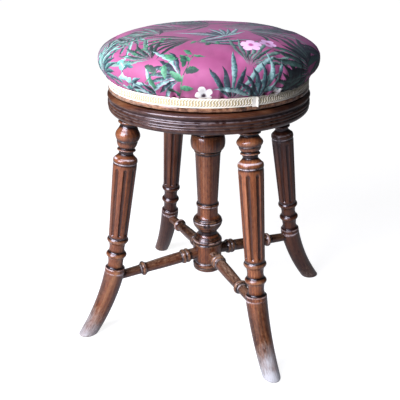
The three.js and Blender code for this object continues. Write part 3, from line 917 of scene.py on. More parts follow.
def bent_foot_point(place):
    """Moves a point of the straight foot to its place on the curve."""
    x, y, z = place / MM
    slope = FOOT_TILT + -z / FOOT_BEND
    axis_x = COLLAR_RADIUS + FOOT_BEND * (math.cos(FOOT_TILT) - math.cos(slope))
    axis_z = COLLAR_HEIGHT - FOOT_BEND * (math.sin(slope) - math.sin(FOOT_TILT))
    flat = smoothly(FOOT_LENGTH - 45, FOOT_LENGTH - 4, -z)
    wide = math.cos(slope) + (1 / math.cos(slope) - math.cos(slope)) * flat
    return Vector((axis_x + x * wide, y, axis_z + x * math.sin(slope) * (1 - flat))) * MM


def foot_bleach(place, strength):
    """How far a point of the straight foot has bleached, more towards the toe and its outer side."""
    down = -place.z / MM / FOOT_LENGTH
    outer = place.x / (17 * MM)
    return strength * smoothly(0.3, 1.0, down + 0.07 * outer + 0.16 * noise.noise(place * 60))


leg_azimuths = {"front_left": -135, "front_right": -45, "back_right": 45, "back_left": 135}
leg_rises = {"front_left": 0.0, "front_right": 0.0645, "back_right": 0.0, "back_left": 0.0}
leg_bleach = {"front_left": 0.8, "front_right": 1.0, "back_right": 0.5, "back_left": 0.4}
# How darkly each leg and its foot are painted with shade: the back legs most, and each foot more than its
# leg.
leg_painted_shade = {"front_left": 0.12, "front_right": 0.0, "back_right": 0.55, "back_left": 0.62}
foot_painted_shade = {"front_left": 0.42, "front_right": 0.12, "back_right": 0.67, "back_left": 0.74}
# degrees by which each leg is turned on its own axis, which sets where its flutes show
leg_turns = {"front_left": 8.6, "front_right": 24.7, "back_right": 15.0, "back_left": 0.0}
# height in mm or share of the turned length, width in mm and strength of the pale lines
leg_chalk = [(0.3, 0.8, 1.3), (8.2, 0.5, 0.5), (29.8, 0.4, 0.15), (57.0, 0.4, 0.2), (67.5, 0.5, 0.2)]
head_chalk = [(0.7175, 0.6, 1.0), (0.746, 0.9, 1.0), (0.7955, 0.5, 0.15), (0.8535, 0.5, 0.3)]
for index, (corner, azimuth) in enumerate(leg_azimuths.items()):
    rise = leg_rises[corner]
    lines = leg_chalk.copy()
    for share, width, strength in head_chalk:
        lines.append((raised_share(share, rise) * TURNED_LENGTH, width, strength))
    shift = 0.2 + 0.37 * index
    leg = turned_leg(rise)
    mark_wood(leg, shift=shift, chalk_lines=lines, stain_and_shade=leg_painted_shade[corner])
    turn = Matrix.Rotation(math.radians(leg_turns[corner]), 4, "Z")
    bmesh.ops.transform(leg, matrix=turn, verts=leg.verts)
    stand = Matrix.Translation((COLLAR_RADIUS * MM, 0, COLLAR_HEIGHT * MM))
    lean = Matrix.Rotation(-LEG_TILT, 4, "Y")
    bmesh.ops.transform(leg, matrix=stand @ lean, verts=leg.verts)
    foot = sabre_foot()
    mark_wood(
        foot,
        shift=shift,
        chalk_lines=[(0.3, 0.8, 1.2)],
        stain_and_shade=foot_painted_shade[corner],
        bleach_and_light=lambda place: foot_bleach(place, leg_bleach[corner]),
    )
    for vert in foot.verts:
        vert.co = bent_foot_point(vert.co)
    join(leg, foot)
    bmesh.ops.transform(leg, matrix=Matrix.Rotation(math.radians(azimuth), 4, "Z"), verts=leg.verts)
    finish_piece(f"fluted_leg_{corner}", leg, walnut, "frame", [f"leg_{corner}"])

# %% [markdown]
# ## Stretchers
#
# Four turned rods tie the pillar's drum to the legs. Each has a double ring near the drum, a long
# barrel, one flange and a thin end. They are spun upright, then laid along the line from the drum down
# to the leg.

# %% Stretchers
HUB_HEIGHT = UNDERSIDE - 277.6
STRETCHER_LEG = (182.9, UNDERSIDE - 290.1)
STRETCHER_SPAN = math.hypot(STRETCHER_LEG[0], HUB_HEIGHT - STRETCHER_LEG[1])
STRETCHER_TILT = math.atan2(HUB_HEIGHT - STRETCHER_LEG[1], STRETCHER_LEG[0])
STRETCHER_RADIUS, STRETCHER_SIDES = 13.2, 48
# shares of the span and of the largest radius, and the swell's share of that radius
stretcher_shares = [
    (0.11, 0.727),
    (0.204, 0.773),
    (0.215, 0.924),
    (0.245, 0.939, 0.068),
    (0.25, 0.864),
    (0.255, 0.939),
    (0.288, 0.909, 0.068),
    (0.296, 0.78),
    (0.656, 0.674, 0.03),
    (0.672, 0.727),
    (0.688, 0.909),
    (0.715, 0.924, 0.068),
    (0.728, 0.667),
    (0.747, 0.629),
    (0.93, 0.591),
]
stretcher_rows = []
for share, *widths in stretcher_shares:
    radii = [STRETCHER_RADIUS * width for width in widths]
    stretcher_rows.append((STRETCHER_SPAN * share, *radii))
# The stretchers are paler along their tops, the front ones more.
stretcher_paler_tops = {"front_left": 0.36, "front_right": 0.42, "back_right": 0.25, "back_left": 0.2}
for index, (corner, azimuth) in enumerate(leg_azimuths.items()):
    points = held(eased(outline_from(stretcher_rows)))
    points = [(0.0, points[0][1]), *points, (0.0, points[-1][1])]
    work = lathe(points, STRETCHER_SIDES)
    mark_wood(
        work,
        shift=0.5 + 0.23 * index,
        chalk_lines=[(45.9, 0.6, 0.35), (54.5, 0.6, 0.3), (126.5, 0.7, 0.6), (134.0, 0.7, 0.6)],
        bleach_and_light=lambda place: stretcher_paler_tops[corner] * smoothly(-0.4, 0.9, -place.x / (10 * MM)),
    )
    lay = (
        Matrix.Rotation(math.radians(azimuth), 4, "Z")
        @ Matrix.Translation((0, 0, HUB_HEIGHT * MM))
        @ Matrix.Rotation(math.pi / 2 + STRETCHER_TILT, 4, "Y")
    )
    bmesh.ops.transform(work, matrix=lay, verts=work.verts)
    name = f"stretcher_{corner}"
    finish_piece(f"turned_{name}", work, dark_walnut, "frame", [name])

# %% [markdown]
# ## Seat board
#
# The board carries the seat. Only its lip shows, a thin worn edge below the braid, chipped here and
# there where it has been knocked. The chips are small moves of the lip's rings.

# %% Seat board
BOARD_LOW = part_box("seat_board")[0].z / MM
BOARD_SIDES = 256
LIP_RADIUS = 164  # mm from the axis, beyond which the wood is the lip
board_outline = [
    (0.0, 4.0),
    (11.5, 4.0),
    (11.5, 0.0),
    (162.5, 0.0),
    (165.3, 0.5),
    (166.0, 1.8),
    (166.0, 4.2),
    (165.5, 6.0),
    (161.5, 6.2),
    (161.5, 16.8),
    (0.0, 17.0),
]
work = lathe(board_outline, BOARD_SIDES)
for vert in work.verts:
    x, y, z = vert.co / MM
    radius = math.hypot(x, y)
    if radius > LIP_RADIUS:
        chip = max(0.0, noise.noise(Vector((x, y, z * 4)) * 0.09) - 0.12) * 2.2
        vert.co.x *= 1 - chip / radius
        vert.co.y *= 1 - chip / radius


def lip_wear_and_light(place):
    """The lip has lost a little polish all round, and a pale patch at the front left, on its side toward
    the window, is painted light.
    """
    around = (math.atan2(place.y, place.x) + math.radians(128) + math.pi) % (2 * math.pi) - math.pi
    return 0.12 + 0.38 * math.exp(-((around / 0.8) ** 2)) if place.xy.length > LIP_RADIUS * MM else 0.0


mark_wood(work, shift=0.9, along="X", bleach_and_light=lip_wear_and_light)
lift_up(work, BOARD_LOW)
finish_piece("seat_board_lip", work, dark_walnut, "seat", ["seat_board"])

# %% [markdown]
# ## Printed cotton
#
# The cover is a smooth cotton satin printed with strap leaves, sprigs and small flowers on a raspberry
# ground. The print lies on the flat cloth before it is stretched over the seat, so it is drawn in the
# cloth's own millimetres, stored as a UV map. Three node groups draw a fan of leaves, a sprig and a
# flower, and a table places them. They work with plain numbers and leave clamping to the Mix node,
# which lets one material hold this many motifs.

# %% Node groups for the print
MASK_RISE = 1.6  # how much of a motif's mask comes with each mm inside its outline


def start_group(name, sockets):
    """A node group of plain numbers that draws one motif. Returns it with what it is given."""
    group = bpy.data.node_groups.new(name, "ShaderNodeTree")
    inputs = ["X", "Y", "Centre X", "Centre Y", *sockets]
    for socket in inputs:
        group.interface.new_socket(name=socket, in_out="INPUT", socket_type="NodeSocketFloat")
    for socket in ("Mask", "Shade"):
        group.interface.new_socket(name=socket, in_out="OUTPUT", socket_type="NodeSocketFloat")
    given = group.nodes.new("NodeGroupInput")
    return group, {socket: given.outputs[socket] for socket in inputs}


def slope(group, first, second):
    """The length of the slope with these two sides."""
    squares = add(group, "ShaderNodeMath", [second, second], operation="MULTIPLY")
    squares = add(group, "ShaderNodeMath", [first, first, squares], operation="MULTIPLY_ADD")
    return add(group, "ShaderNodeMath", [squares], operation="SQRT")


def from_centre(group, given):
    """How far the point lies from the motif's centre, each way."""
    dx = add(group, "ShaderNodeMath", [given["X"], given["Centre X"]], operation="SUBTRACT")
    dy = add(group, "ShaderNodeMath", [given["Y"], given["Centre Y"]], operation="SUBTRACT")
    return dx, dy


def round_centre(group, given):
    """The point's distance from the motif's centre, and its direction from the motif's turn."""
    dx, dy = from_centre(group, given)
    distance = slope(group, dx, dy)
    angle = add(group, "ShaderNodeMath", [dy, dx], operation="ARCTAN2")
    angle = add(group, "ShaderNodeMath", [angle, given["Turn"]], operation="SUBTRACT")
    return distance, angle


leaf_fan, given = start_group("strap_leaf_fan", ["Turn", "Pitch", "Spread", "Length", "Width", "Curl"])
distance, angle = round_centre(leaf_fan, given)
curl = add(leaf_fan, "ShaderNodeMath", [distance, given["Curl"], angle], operation="MULTIPLY_ADD")
curl = add(leaf_fan, "ShaderNodeMath", [curl, math.pi, -math.pi], operation="WRAP")
place = add(leaf_fan, "ShaderNodeMath", [curl, given["Pitch"]], operation="DIVIDE")
number = add(leaf_fan, "ShaderNodeMath", [place], operation="ROUND")
offset = add(leaf_fan, "ShaderNodeMath", [place, number], operation="SUBTRACT")
offset = add(leaf_fan, "ShaderNodeMath", [offset, given["Pitch"]], operation="MULTIPLY")
across = add(leaf_fan, "ShaderNodeMath", [offset, distance], operation="MULTIPLY")
seed = add(leaf_fan, "ShaderNodeMath", [number, given["Turn"]], operation="ADD")
chance = add(leaf_fan, "ShaderNodeTexWhiteNoise", {"W": seed}, noise_dimensions="1D")
reach = add(leaf_fan, "ShaderNodeMath", [chance, 0.45, 0.55], operation="MULTIPLY_ADD")
reach = add(leaf_fan, "ShaderNodeMath", [reach, given["Length"]], operation="MULTIPLY")
along = add(leaf_fan, "ShaderNodeMath", [distance, reach], operation="DIVIDE")
along = add(leaf_fan, "ShaderNodeMath", [along, 1], operation="MINIMUM")
belly = add(leaf_fan, "ShaderNodeMath", [along, 1.25], operation="POWER")
belly = add(leaf_fan, "ShaderNodeMath", [belly, math.pi], operation="MULTIPLY")
belly = add(leaf_fan, "ShaderNodeMath", [belly], operation="SINE")
half = add(leaf_fan, "ShaderNodeMath", [belly, given["Width"]], operation="MULTIPLY")
inside = add(leaf_fan, "ShaderNodeMath", [across], operation="ABSOLUTE")
inside = add(leaf_fan, "ShaderNodeMath", [half, inside], operation="SUBTRACT")
mask = add(leaf_fan, "ShaderNodeMath", [inside, MASK_RISE], operation="MULTIPLY")
turned = add(leaf_fan, "ShaderNodeMath", [number, given["Pitch"]], operation="MULTIPLY")
turned = add(leaf_fan, "ShaderNodeMath", [turned], operation="ABSOLUTE")
near = add(leaf_fan, "ShaderNodeMath", [turned, given["Spread"]], operation="LESS_THAN")
mask = add(leaf_fan, "ShaderNodeMath", [mask, near], operation="MULTIPLY")
tone = add(leaf_fan, "ShaderNodeMath", [across, half], operation="DIVIDE")
tone = add(leaf_fan, "ShaderNodeMath", [tone, 0.34, 0.12], operation="MULTIPLY_ADD")
tone = add(leaf_fan, "ShaderNodeMath", [chance, 0.7, tone], operation="MULTIPLY_ADD")
add(leaf_fan, "NodeGroupOutput", {"Mask": mask, "Shade": tone})

sprig, given = start_group("leafy_sprig", ["Cosine", "Sine", "Pitch", "Length", "Width"])
dx, dy = from_centre(sprig, given)
along = add(sprig, "ShaderNodeMath", [dy, given["Sine"]], operation="MULTIPLY")
along = add(sprig, "ShaderNodeMath", [dx, given["Cosine"], along], operation="MULTIPLY_ADD")
across = add(sprig, "ShaderNodeMath", [dy, given["Cosine"]], operation="MULTIPLY")
sideways = add(sprig, "ShaderNodeMath", [dx, given["Sine"]], operation="MULTIPLY")
across = add(sprig, "ShaderNodeMath", [across, sideways], operation="SUBTRACT")
place = add(sprig, "ShaderNodeMath", [along, given["Pitch"]], operation="DIVIDE")
number = add(sprig, "ShaderNodeMath", [place], operation="ROUND")
hand = add(sprig, "ShaderNodeMath", [number, 2], operation="FLOORED_MODULO")
hand = add(sprig, "ShaderNodeMath", [hand, 2, -1], operation="MULTIPLY_ADD")
chance = add(sprig, "ShaderNodeTexWhiteNoise", {"W": number}, noise_dimensions="1D")
leaf_x = add(sprig, "ShaderNodeMath", [place, number], operation="SUBTRACT")
leaf_x = add(sprig, "ShaderNodeMath", [leaf_x, given["Pitch"]], operation="MULTIPLY")
leaf_y = add(sprig, "ShaderNodeMath", [across, hand], operation="MULTIPLY")
wide = add(sprig, "ShaderNodeMath", [leaf_y, -0.35, leaf_x], operation="MULTIPLY_ADD")
wide = add(sprig, "ShaderNodeMath", [wide, given["Width"]], operation="DIVIDE")
wide = add(sprig, "ShaderNodeMath", [wide, 1.6], operation="MULTIPLY")
high = add(sprig, "ShaderNodeMath", [leaf_y, given["Width"]], operation="DIVIDE")
high = add(sprig, "ShaderNodeMath", [high, 0.95], operation="SUBTRACT")
leaf = slope(sprig, wide, high)
leaf = add(sprig, "ShaderNodeMath", [leaf, -10, 10], operation="MULTIPLY_ADD")
stem = add(sprig, "ShaderNodeMath", [across], operation="ABSOLUTE")
stem = add(sprig, "ShaderNodeMath", [stem, -2.5, 2.2], operation="MULTIPLY_ADD")
mask = add(sprig, "ShaderNodeMath", [leaf, stem], operation="MAXIMUM")
short = add(sprig, "ShaderNodeMath", [along, given["Length"]], operation="LESS_THAN")
mask = add(sprig, "ShaderNodeMath", [mask, short], operation="MULTIPLY")
ahead = add(sprig, "ShaderNodeMath", [along, 0], operation="GREATER_THAN")
mask = add(sprig, "ShaderNodeMath", [mask, ahead], operation="MULTIPLY")
tone = add(sprig, "ShaderNodeMath", [wide, 0.25, 0.2], operation="MULTIPLY_ADD")
tone = add(sprig, "ShaderNodeMath", [chance, 0.5, tone], operation="MULTIPLY_ADD")
add(sprig, "NodeGroupOutput", {"Mask": mask, "Shade": tone})

blossom, given = start_group("five_petal_flower", ["Turn", "Width"])
distance, angle = round_centre(blossom, given)
petal = add(blossom, "ShaderNodeMath", [angle, 2.5], operation="MULTIPLY")
petal = add(blossom, "ShaderNodeMath", [petal], operation="COSINE")
petal = add(blossom, "ShaderNodeMath", [petal], operation="ABSOLUTE")
edge = add(blossom, "ShaderNodeMath", [petal], operation="SQRT")
edge = add(blossom, "ShaderNodeMath", [edge, 0.45, 0.55], operation="MULTIPLY_ADD")
inside = add(blossom, "ShaderNodeMath", [edge, given["Width"]], operation="MULTIPLY")
inside = add(blossom, "ShaderNodeMath", [inside, distance], operation="SUBTRACT")
mask = add(blossom, "ShaderNodeMath", [inside, MASK_RISE], operation="MULTIPLY")
tone = add(blossom, "ShaderNodeMath", [distance, given["Width"]], operation="DIVIDE")
add(blossom, "NodeGroupOutput", {"Mask": mask, "Shade": tone})
print("print groups:", [group.name for group in (leaf_fan, sprig, blossom)])

# %% [markdown]
# The motifs are placed in the cloth's millimetres, from the middle of the seat. The photograph looks
# from below this plan, so the front of the seat is at negative heights, and the cloth reaches about 235
# mm out to the braid.

# %% The print's plan
# The darkest leaves lie on the right side of the seat, where they also stand in as painted shade.
# x, y, turn in degrees, degrees between leaves, spread, length, half width, curl per mm, tone
fans = [
    (-10, 168, 90, 12, 170, 92, 4.4, 0.002, "dusky"),
    (-34, -14, 172, 13, 40, 165, 4.6, 0.0016, "dusky"),
    (14, 18, 352, 12, 40, 150, 4.4, -0.0012, "dusky"),
    (-50, 28, 84, 14, 62, 118, 4.6, 0.003, "dusky"),
    (122, 30, 95, 14, 74, 118, 4.8, -0.003, "night_and_shade"),
    (-22, -112, 18, 14, 30, 118, 4.4, -0.002, "strap"),
    (-122, -28, 262, 11, 48, 122, 3.4, 0.003, "teal"),
    (-18, -92, 186, 11, 34, 138, 3.8, -0.0015, "dusky"),
    (-80, -150, 128, 13, 52, 96, 4.0, 0.003, "dusky"),
    (24, -78, 108, 12, 56, 88, 4.0, -0.003, "strap"),
    (60, -170, 78, 11, 46, 96, 3.4, 0.002, "dusky"),
    (-40, -190, 150, 13, 60, 88, 3.8, -0.003, "strap"),
    (172, -148, 262, 12, 90, 96, 5.0, 0.004, "night_and_shade"),
    (-35, 120, 200, 13, 95, 105, 3.6, 0.004, "dusky"),
    (90, 95, 20, 15, 100, 100, 4.0, -0.004, "dusky"),
    (-130, 95, 150, 12, 110, 90, 3.2, 0.005, "fresh"),
    (5, 40, 185, 16, 70, 120, 4.2, 0.002, "dusky"),
    (150, 10, 120, 14, 120, 90, 4.0, 0.005, "night_and_shade"),
    (-150, -10, 230, 13, 120, 95, 3.6, -0.006, "dusky"),
    (60, -35, 5, 13, 60, 110, 3.8, 0.003, "dusky"),
    (-75, -60, 130, 15, 60, 95, 3.6, -0.003, "dusky"),
    (165, -110, 235, 15, 130, 95, 5.6, 0.004, "night_and_shade"),
    (195, -40, 300, 15, 120, 90, 5.8, -0.004, "night_and_shade"),
    (-190, -95, 60, 14, 120, 85, 4.0, 0.005, "teal"),
    (48, -232, 92, 16, 62, 116, 4.6, 0.002, "strap"),
    (104, -222, 115, 14, 50, 108, 4.4, -0.003, "strap"),
    (-150, -168, 285, 15, 100, 62, 4.4, 0.006, "strap"),
    (-108, -214, 80, 22, 34, 70, 4.4, -0.004, "strap"),
]
# x, y, turn, pitch, length, half width, tone
sprigs = [
    (-60, -232, 63, 15, 92, 10.5, "sprig"),
    (-22, -150, 200, 15, 84, 9.5, "sprig"),
    (-150, -178, 68, 11, 66, 8.5, "mint"),
    (-165, -150, 20, 11, 52, 8.0, "mint"),
    (-112, -120, 35, 8, 66, 4.5, "sprig"),
    (15, -118, 160, 12, 40, 6.0, "sprig"),
    (-165, 40, 70, 10, 80, 6.0, "lime"),
    (100, 150, 200, 12, 70, 7.0, "sprig"),
]
# x, y, turn, half width, petals, middle
flowers = [
    (62, -112, 20, 17, "#e9bce0", "#b04a86"),
    (88, -96, 60, 14, "#dcaed6", "#b04a86"),
    (-105, 92, 10, 17, "#e9c3e2", "#b0709c"),
    (112, 118, 40, 18, "#d8a2cc", "#a8507e"),
    (152, 92, 0, 16, "#d8a2cc", "#a8507e"),
    (-8, -222, 35, 17, "#f4f1ea", "#3a2434"),
    (134, -188, 15, 13, "#e9e4e0", "#9a8a84"),
    (-118, -222, 0, 9, "#4f7fc4", "#223a78"),
    (-104, -229, 30, 9, "#3f66ae", "#1f2f66"),
    (-128, -211, 50, 8, "#5f9ad0", "#29468c"),
]
tones = {
    "dusky": ["#1a2828", "#3a5650", "#76948a"],
    "fresh": ["#2e4a3c", "#4f7a58", "#84b07e"],
    "night_and_shade": ["#10161c", "#1f3230", "#3d5a52"],
    "teal": ["#23343c", "#4f8078", "#9ccfc0"],
    "strap": ["#1c2732", "#456a6c", "#9cc0bc"],
    "sprig": ["#1f3630", "#2f6a4c", "#5a9c74"],
    "mint": ["#2c5058", "#5fae98", "#b2ecd8"],
    "lime": ["#3a6040", "#6a9c60", "#9cd08c"],
}

# %% Printed cotton satin
DRIFT = 9  # mm by which the drawing wanders, so that no motif is a stencil
cotton, tree = start_material("printed_cotton_satin")
cloth = add(tree, "ShaderNodeUVMap", uv_map="cloth")
cloth = add(tree, "ShaderNodeVectorMath", {0: cloth, "Scale": 1 / MM}, operation="SCALE")
drift = add(tree, "ShaderNodeTexNoise", {"Vector": cloth, "Scale": 1 / 28, "Detail": 2}, out="Color")
drift = add(tree, "ShaderNodeVectorMath", {0: drift, 1: (0.5, 0.5, 0.5)}, operation="SUBTRACT")
drift = add(tree, "ShaderNodeVectorMath", {0: drift, "Scale": DRIFT}, operation="SCALE")
drawn = add(tree, "ShaderNodeVectorMath", {0: cloth, 1: drift}, operation="ADD")
parts = tree.nodes.new("ShaderNodeSeparateXYZ")
tree.links.new(drawn, parts.inputs[0])
brush = add(
    tree,
    "ShaderNodeTexNoise",
    {"Vector": cloth, "Scale": 1 / 5, "Detail": 4, "Roughness": 0.7},
)
brush = add(tree, "ShaderNodeMath", [brush, 1.1, -0.55], operation="MULTIPLY_ADD")
ground = add(tree, "ShaderNodeTexNoise", {"Vector": cloth, "Scale": 1 / 60, "Detail": 3})
colour = add(
    tree,
    "ShaderNodeValToRGB",
    {"Fac": ground},
    stops=[(0.3, "#93446d"), (0.7, "#a85984")],
)


def draw_motif(colour, group, numbers, stops, brushed=True):
    """Lays one motif over the colour so far. The numbers fill the group's later inputs in order."""
    motif = tree.nodes.new("ShaderNodeGroup")
    motif.node_tree = group
    tree.links.new(parts.outputs["X"], motif.inputs["X"])
    tree.links.new(parts.outputs["Y"], motif.inputs["Y"])
    for socket, value in zip(motif.inputs[2:], numbers):
        socket.default_value = value
    shade = motif.outputs["Shade"]
    if brushed:
        shade = add(tree, "ShaderNodeMath", [shade, brush], operation="ADD")
    ink = add(tree, "ShaderNodeValToRGB", {"Fac": shade}, stops=stops)
    return add(
        tree,
        "ShaderNodeMix",
        {0: motif.outputs["Mask"], 6: colour, 7: ink},
        out=2,
        data_type="RGBA",
    )


for x, y, turn, pitch, spread, length, width, curl, tone in fans:
    turns = [math.radians(degrees) for degrees in (turn, pitch, spread)]
    dark, middle, light = tones[tone]
    stops = [(0.2, dark), (0.85, light), (0.5, middle)]
    colour = draw_motif(colour, leaf_fan, (x, y, *turns, length, width, curl), stops)
for x, y, turn, width, petals, middle in flowers:
    stops = [(0.16, middle), (0.34, petals)]
    colour = draw_motif(colour, blossom, (x, y, math.radians(turn), width), stops, brushed=False)
for x, y, turn, pitch, length, width, tone in sprigs:
    way = (math.cos(math.radians(turn)), math.sin(math.radians(turn)))
    dark, middle, light = tones[tone]
    stops = [(0.15, dark), (0.8, light), (0.45, middle)]
    colour = draw_motif(colour, sprig, (x, y, *way, pitch, length, width), stops)
weave = add(
    tree,
    "ShaderNodeTexWave",
    {"Vector": cloth, "Scale": 0.9, "Distortion": 0.3},
    out="Fac",
    bands_direction="DIAGONAL",
)
threads = add(tree, "ShaderNodeTexNoise", {"Vector": cloth, "Scale": 1.1, "Detail": 3})
threads = add(tree, "ShaderNodeMath", [weave, 0.5, threads], operation="MULTIPLY_ADD")
bump = add(tree, "ShaderNodeBump", {"Height": threads, "Strength": 0.25, "Distance": 0.15 * MM})
look = {
    "Base Color": colour,
    "Roughness": 0.62,
    "IOR": 1.46,
    "Normal": bump,
    "Sheen Weight": 0.08,
    "Sheen Roughness": 0.4,
    "Sheen Tint": linear("#e6d4ff"),
}
shader = add(tree, "ShaderNodeBsdfPrincipled", look)
add(tree, "ShaderNodeOutputMaterial", {"Surface": shader})
print("motifs:", len(fans), "fans,", len(sprigs), "sprigs,", len(flowers), "flowers")

# %% [markdown]
# ## Cushion
#
# The seat is stuffed with hair and covered tight, so it is a flat dome with a squared shoulder, and its
# side rolls in to the board. It starts a little small, is filled by a short cloth simulation with
# pressure inside and its lower edge held, and then gets the small puckers that the tacks pull into the
# cloth above the braid.

# %% Cushion
CUSHION_RADIUS, CROWN, TUCK_RADIUS = 179.4, 44.2, 163.3
CLOTH_MESH, MOST_FILLING = 4.6, 5  # mm between points of the cloth, and of its farthest move
SEAT_LOW = BOARD_LOW + 17.0
TUCK_HEIGHT, WIDEST = BOARD_LOW + 22.8, BOARD_LOW + 49.5


def cushion_outline(wider, lower):
    """Points (radius, height) in mm up the side and over the crown, made wider and lower by so much."""
    points = []
    for step in range(16):
        turn = math.pi / 2 * step / 16
        out = TUCK_RADIUS + (CUSHION_RADIUS + wider - TUCK_RADIUS) * math.sin(turn)
        points.append((out, WIDEST - (WIDEST - TUCK_HEIGHT) * math.cos(turn)))
    for step in range(49):
        turn = math.pi / 2 * step / 48
        out = (CUSHION_RADIUS + wider) * math.cos(turn) ** 0.5025
        points.append((out, WIDEST + (CROWN - lower) * math.sin(turn) ** 0.99))
    return points


side = cushion_outline(0.8, 4.5)
underneath = [(0.0, SEAT_LOW + 0.3), (161.0, SEAT_LOW + 0.3), (163.0, SEAT_LOW + 1.4)]
cushion = object_of("stuffed_cushion", lathe([*underneath, *side[:-1], (0.0, side[-1][1])], 160))
bpy.context.view_layer.objects.active = cushion
cushion.select_set(True)
remesh = cushion.modifiers.new("even_mesh", "REMESH")
remesh.mode = "VOXEL"
remesh.voxel_size = CLOTH_MESH * MM
bpy.ops.object.modifier_apply(modifier="even_mesh")


def coordinates(mesh):
    """The mesh's points as an array."""
    flat = np.zeros(len(mesh.vertices) * 3)
    mesh.vertices.foreach_get("co", flat)
    return flat.reshape(-1, 3)


start = coordinates(cushion.data)
pinned = cushion.vertex_groups.new(name="pinned")
hem = np.flatnonzero(start[:, 2] < (TUCK_HEIGHT + 1.7) * MM)
pinned.add(hem.tolist(), 1.0, "REPLACE")
filling = cushion.modifiers.new("filling", "CLOTH")
filling.settings.vertex_group_mass = "pinned"
filling.settings.use_pressure = True
filling.settings.uniform_pressure_force = 4
filling.settings.quality = 5
filling.settings.tension_stiffness = 25
filling.settings.compression_stiffness = 25
filling.settings.bending_stiffness = 12
filling.settings.shrink_min = 0.02
filling.settings.effector_weights.gravity = 0
for number in range(1, 21):
    scene.frame_set(number)
graph = bpy.context.evaluated_depsgraph_get()
puffed = coordinates(cushion.evaluated_get(graph).to_mesh())
cushion.modifiers.remove(filling)
cushion.vertex_groups.remove(pinned)
scene.frame_set(1)
moves = puffed - start
lengths = np.linalg.norm(moves, axis=1, keepdims=True)
moves *= np.minimum(1, MOST_FILLING * MM / np.maximum(lengths, 1e-9))
farthest = round(float(lengths.max()) / MM, 1)
print("the filling moved the cloth by up to", farthest, "mm, before the limit")
start = start + moves
# The side is let out to the width measured on the stool, from nothing at the tuck.
widest = np.hypot(start[:, 0], start[:, 1]).max() / MM
let_out = (CUSHION_RADIUS + 1.7) / widest - 1
for point in start:
    point[:2] *= 1 + let_out * smoothly(TUCK_HEIGHT, WIDEST - 8, point[2] / MM)
cushion.data.vertices.foreach_set("co", start.ravel())
print("let out by", round(let_out * widest, 1), "mm")
finer = cushion.modifiers.new("finer", "SUBSURF")
finer.levels = 1
finer.render_levels = 1
bpy.ops.object.modifier_apply(modifier="finer")

# %% [markdown]
# The puckers are placed with a seeded draw, deeper at the front right, and fade out up the side. The UV
# map follows each point's distance over the cloth from the middle of the crown.

# %% Puckers and cloth map
PUCKERS = 58
draw = random.Random(7)
puckers = []
for index in range(PUCKERS):
    azimuth = math.radians(360 * (index + draw.uniform(-0.35, 0.35)) / PUCKERS)
    strength = draw.uniform(0.3, 1.0) ** 1.6 * 2.6
    puckers.append((azimuth, strength, draw.uniform(2.8, 4.6), draw.uniform(24, 48)))
for azimuth, strength, width, reach in (
    (-20, 6.5, 3.4, 70),
    (-42, 6.0, 3.6, 64),
    (-36, 5.0, 3.2, 54),
    (-31, 4.6, 3.2, 48),
    (-49, 4.6, 3.2, 50),
    (-88, 5.0, 3.6, 62),
    (-64, 4.4, 3.2, 48),
    (-99, 4.2, 3.4, 50),
    (-112, 3.6, 3.2, 44),
):
    puckers.append((math.radians(azimuth), strength, width, reach))

places = coordinates(cushion.data) / MM
radii = np.hypot(places[:, 0], places[:, 1])
azimuths = np.arctan2(places[:, 1], places[:, 0])
sunk = np.zeros(len(places))
above = places[:, 2] - (TUCK_HEIGHT - 2.8)
outside = radii > 140
for azimuth, strength, width, reach in puckers:
    arc = (azimuths - azimuth + math.pi) % (2 * math.pi) - math.pi
    groove = np.exp(-((arc * CUSHION_RADIUS / width) ** 2))
    swell = 0.45 * np.exp(-(((np.abs(arc) * CUSHION_RADIUS - 2 * width) / width) ** 2))
    fade = np.clip(1 - above / reach, 0, 1) ** 1.5 * (above > -3)
    sunk += strength * (groove - swell) * fade * outside
places[:, 0] -= sunk * np.cos(azimuths)
places[:, 1] -= sunk * np.sin(azimuths)
cushion.data.vertices.foreach_set("co", (places * MM).ravel())

line = np.array(cushion_outline(0, 0)[::-1])
lengths = np.concatenate([[0], np.cumsum(np.hypot(*np.diff(line, axis=0).T))])
near = np.zeros(len(places))
for first in range(0, len(places), 4000):
    part = slice(first, first + 4000)
    out = radii[part, None] - line[None, :, 0]
    up = places[part, 2][:, None] - line[None, :, 1]
    near[part] = lengths[np.argmin(out**2 + up**2, axis=1)]
below = places[:, 2] < TUCK_HEIGHT
near[below] = lengths[-1] + (TUCK_HEIGHT - places[below, 2])
top = (places[:, 2] > WIDEST) & (radii < 150)
near[top] = radii[top] * (1 + 0.004 * (radii[top] / 150) ** 2)
toward = azimuths - camera_azimuth - math.pi / 2
cloth_places = np.stack([near * np.cos(toward), near * np.sin(toward)], axis=1) * MM
uv_map = cushion.data.uv_layers.new(name="cloth")
corners = np.zeros(len(cushion.data.loops), dtype=np.int32)
cushion.data.loops.foreach_get("vertex_index", corners)
uv_map.data.foreach_set("uv", cloth_places[corners].ravel())
for polygon in cushion.data.polygons:
    polygon.use_smooth = True
cushion.data.materials.clear()
cushion.data.materials.append(cotton)
cushion.data.update()
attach(cushion, "seat")
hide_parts("seat_cover", "seat_pad")
print("cushion", len(cushion.data.polygons), "faces")

# %% [markdown]
# ## Gimp braid
#
# Gimp is a narrow woven trimming glued over the tacks. This one is cream cotton: a flat band with a
# cord along each edge and a close row of little scrolls between them. One scroll is a thin bent cord,
# copied round the band.

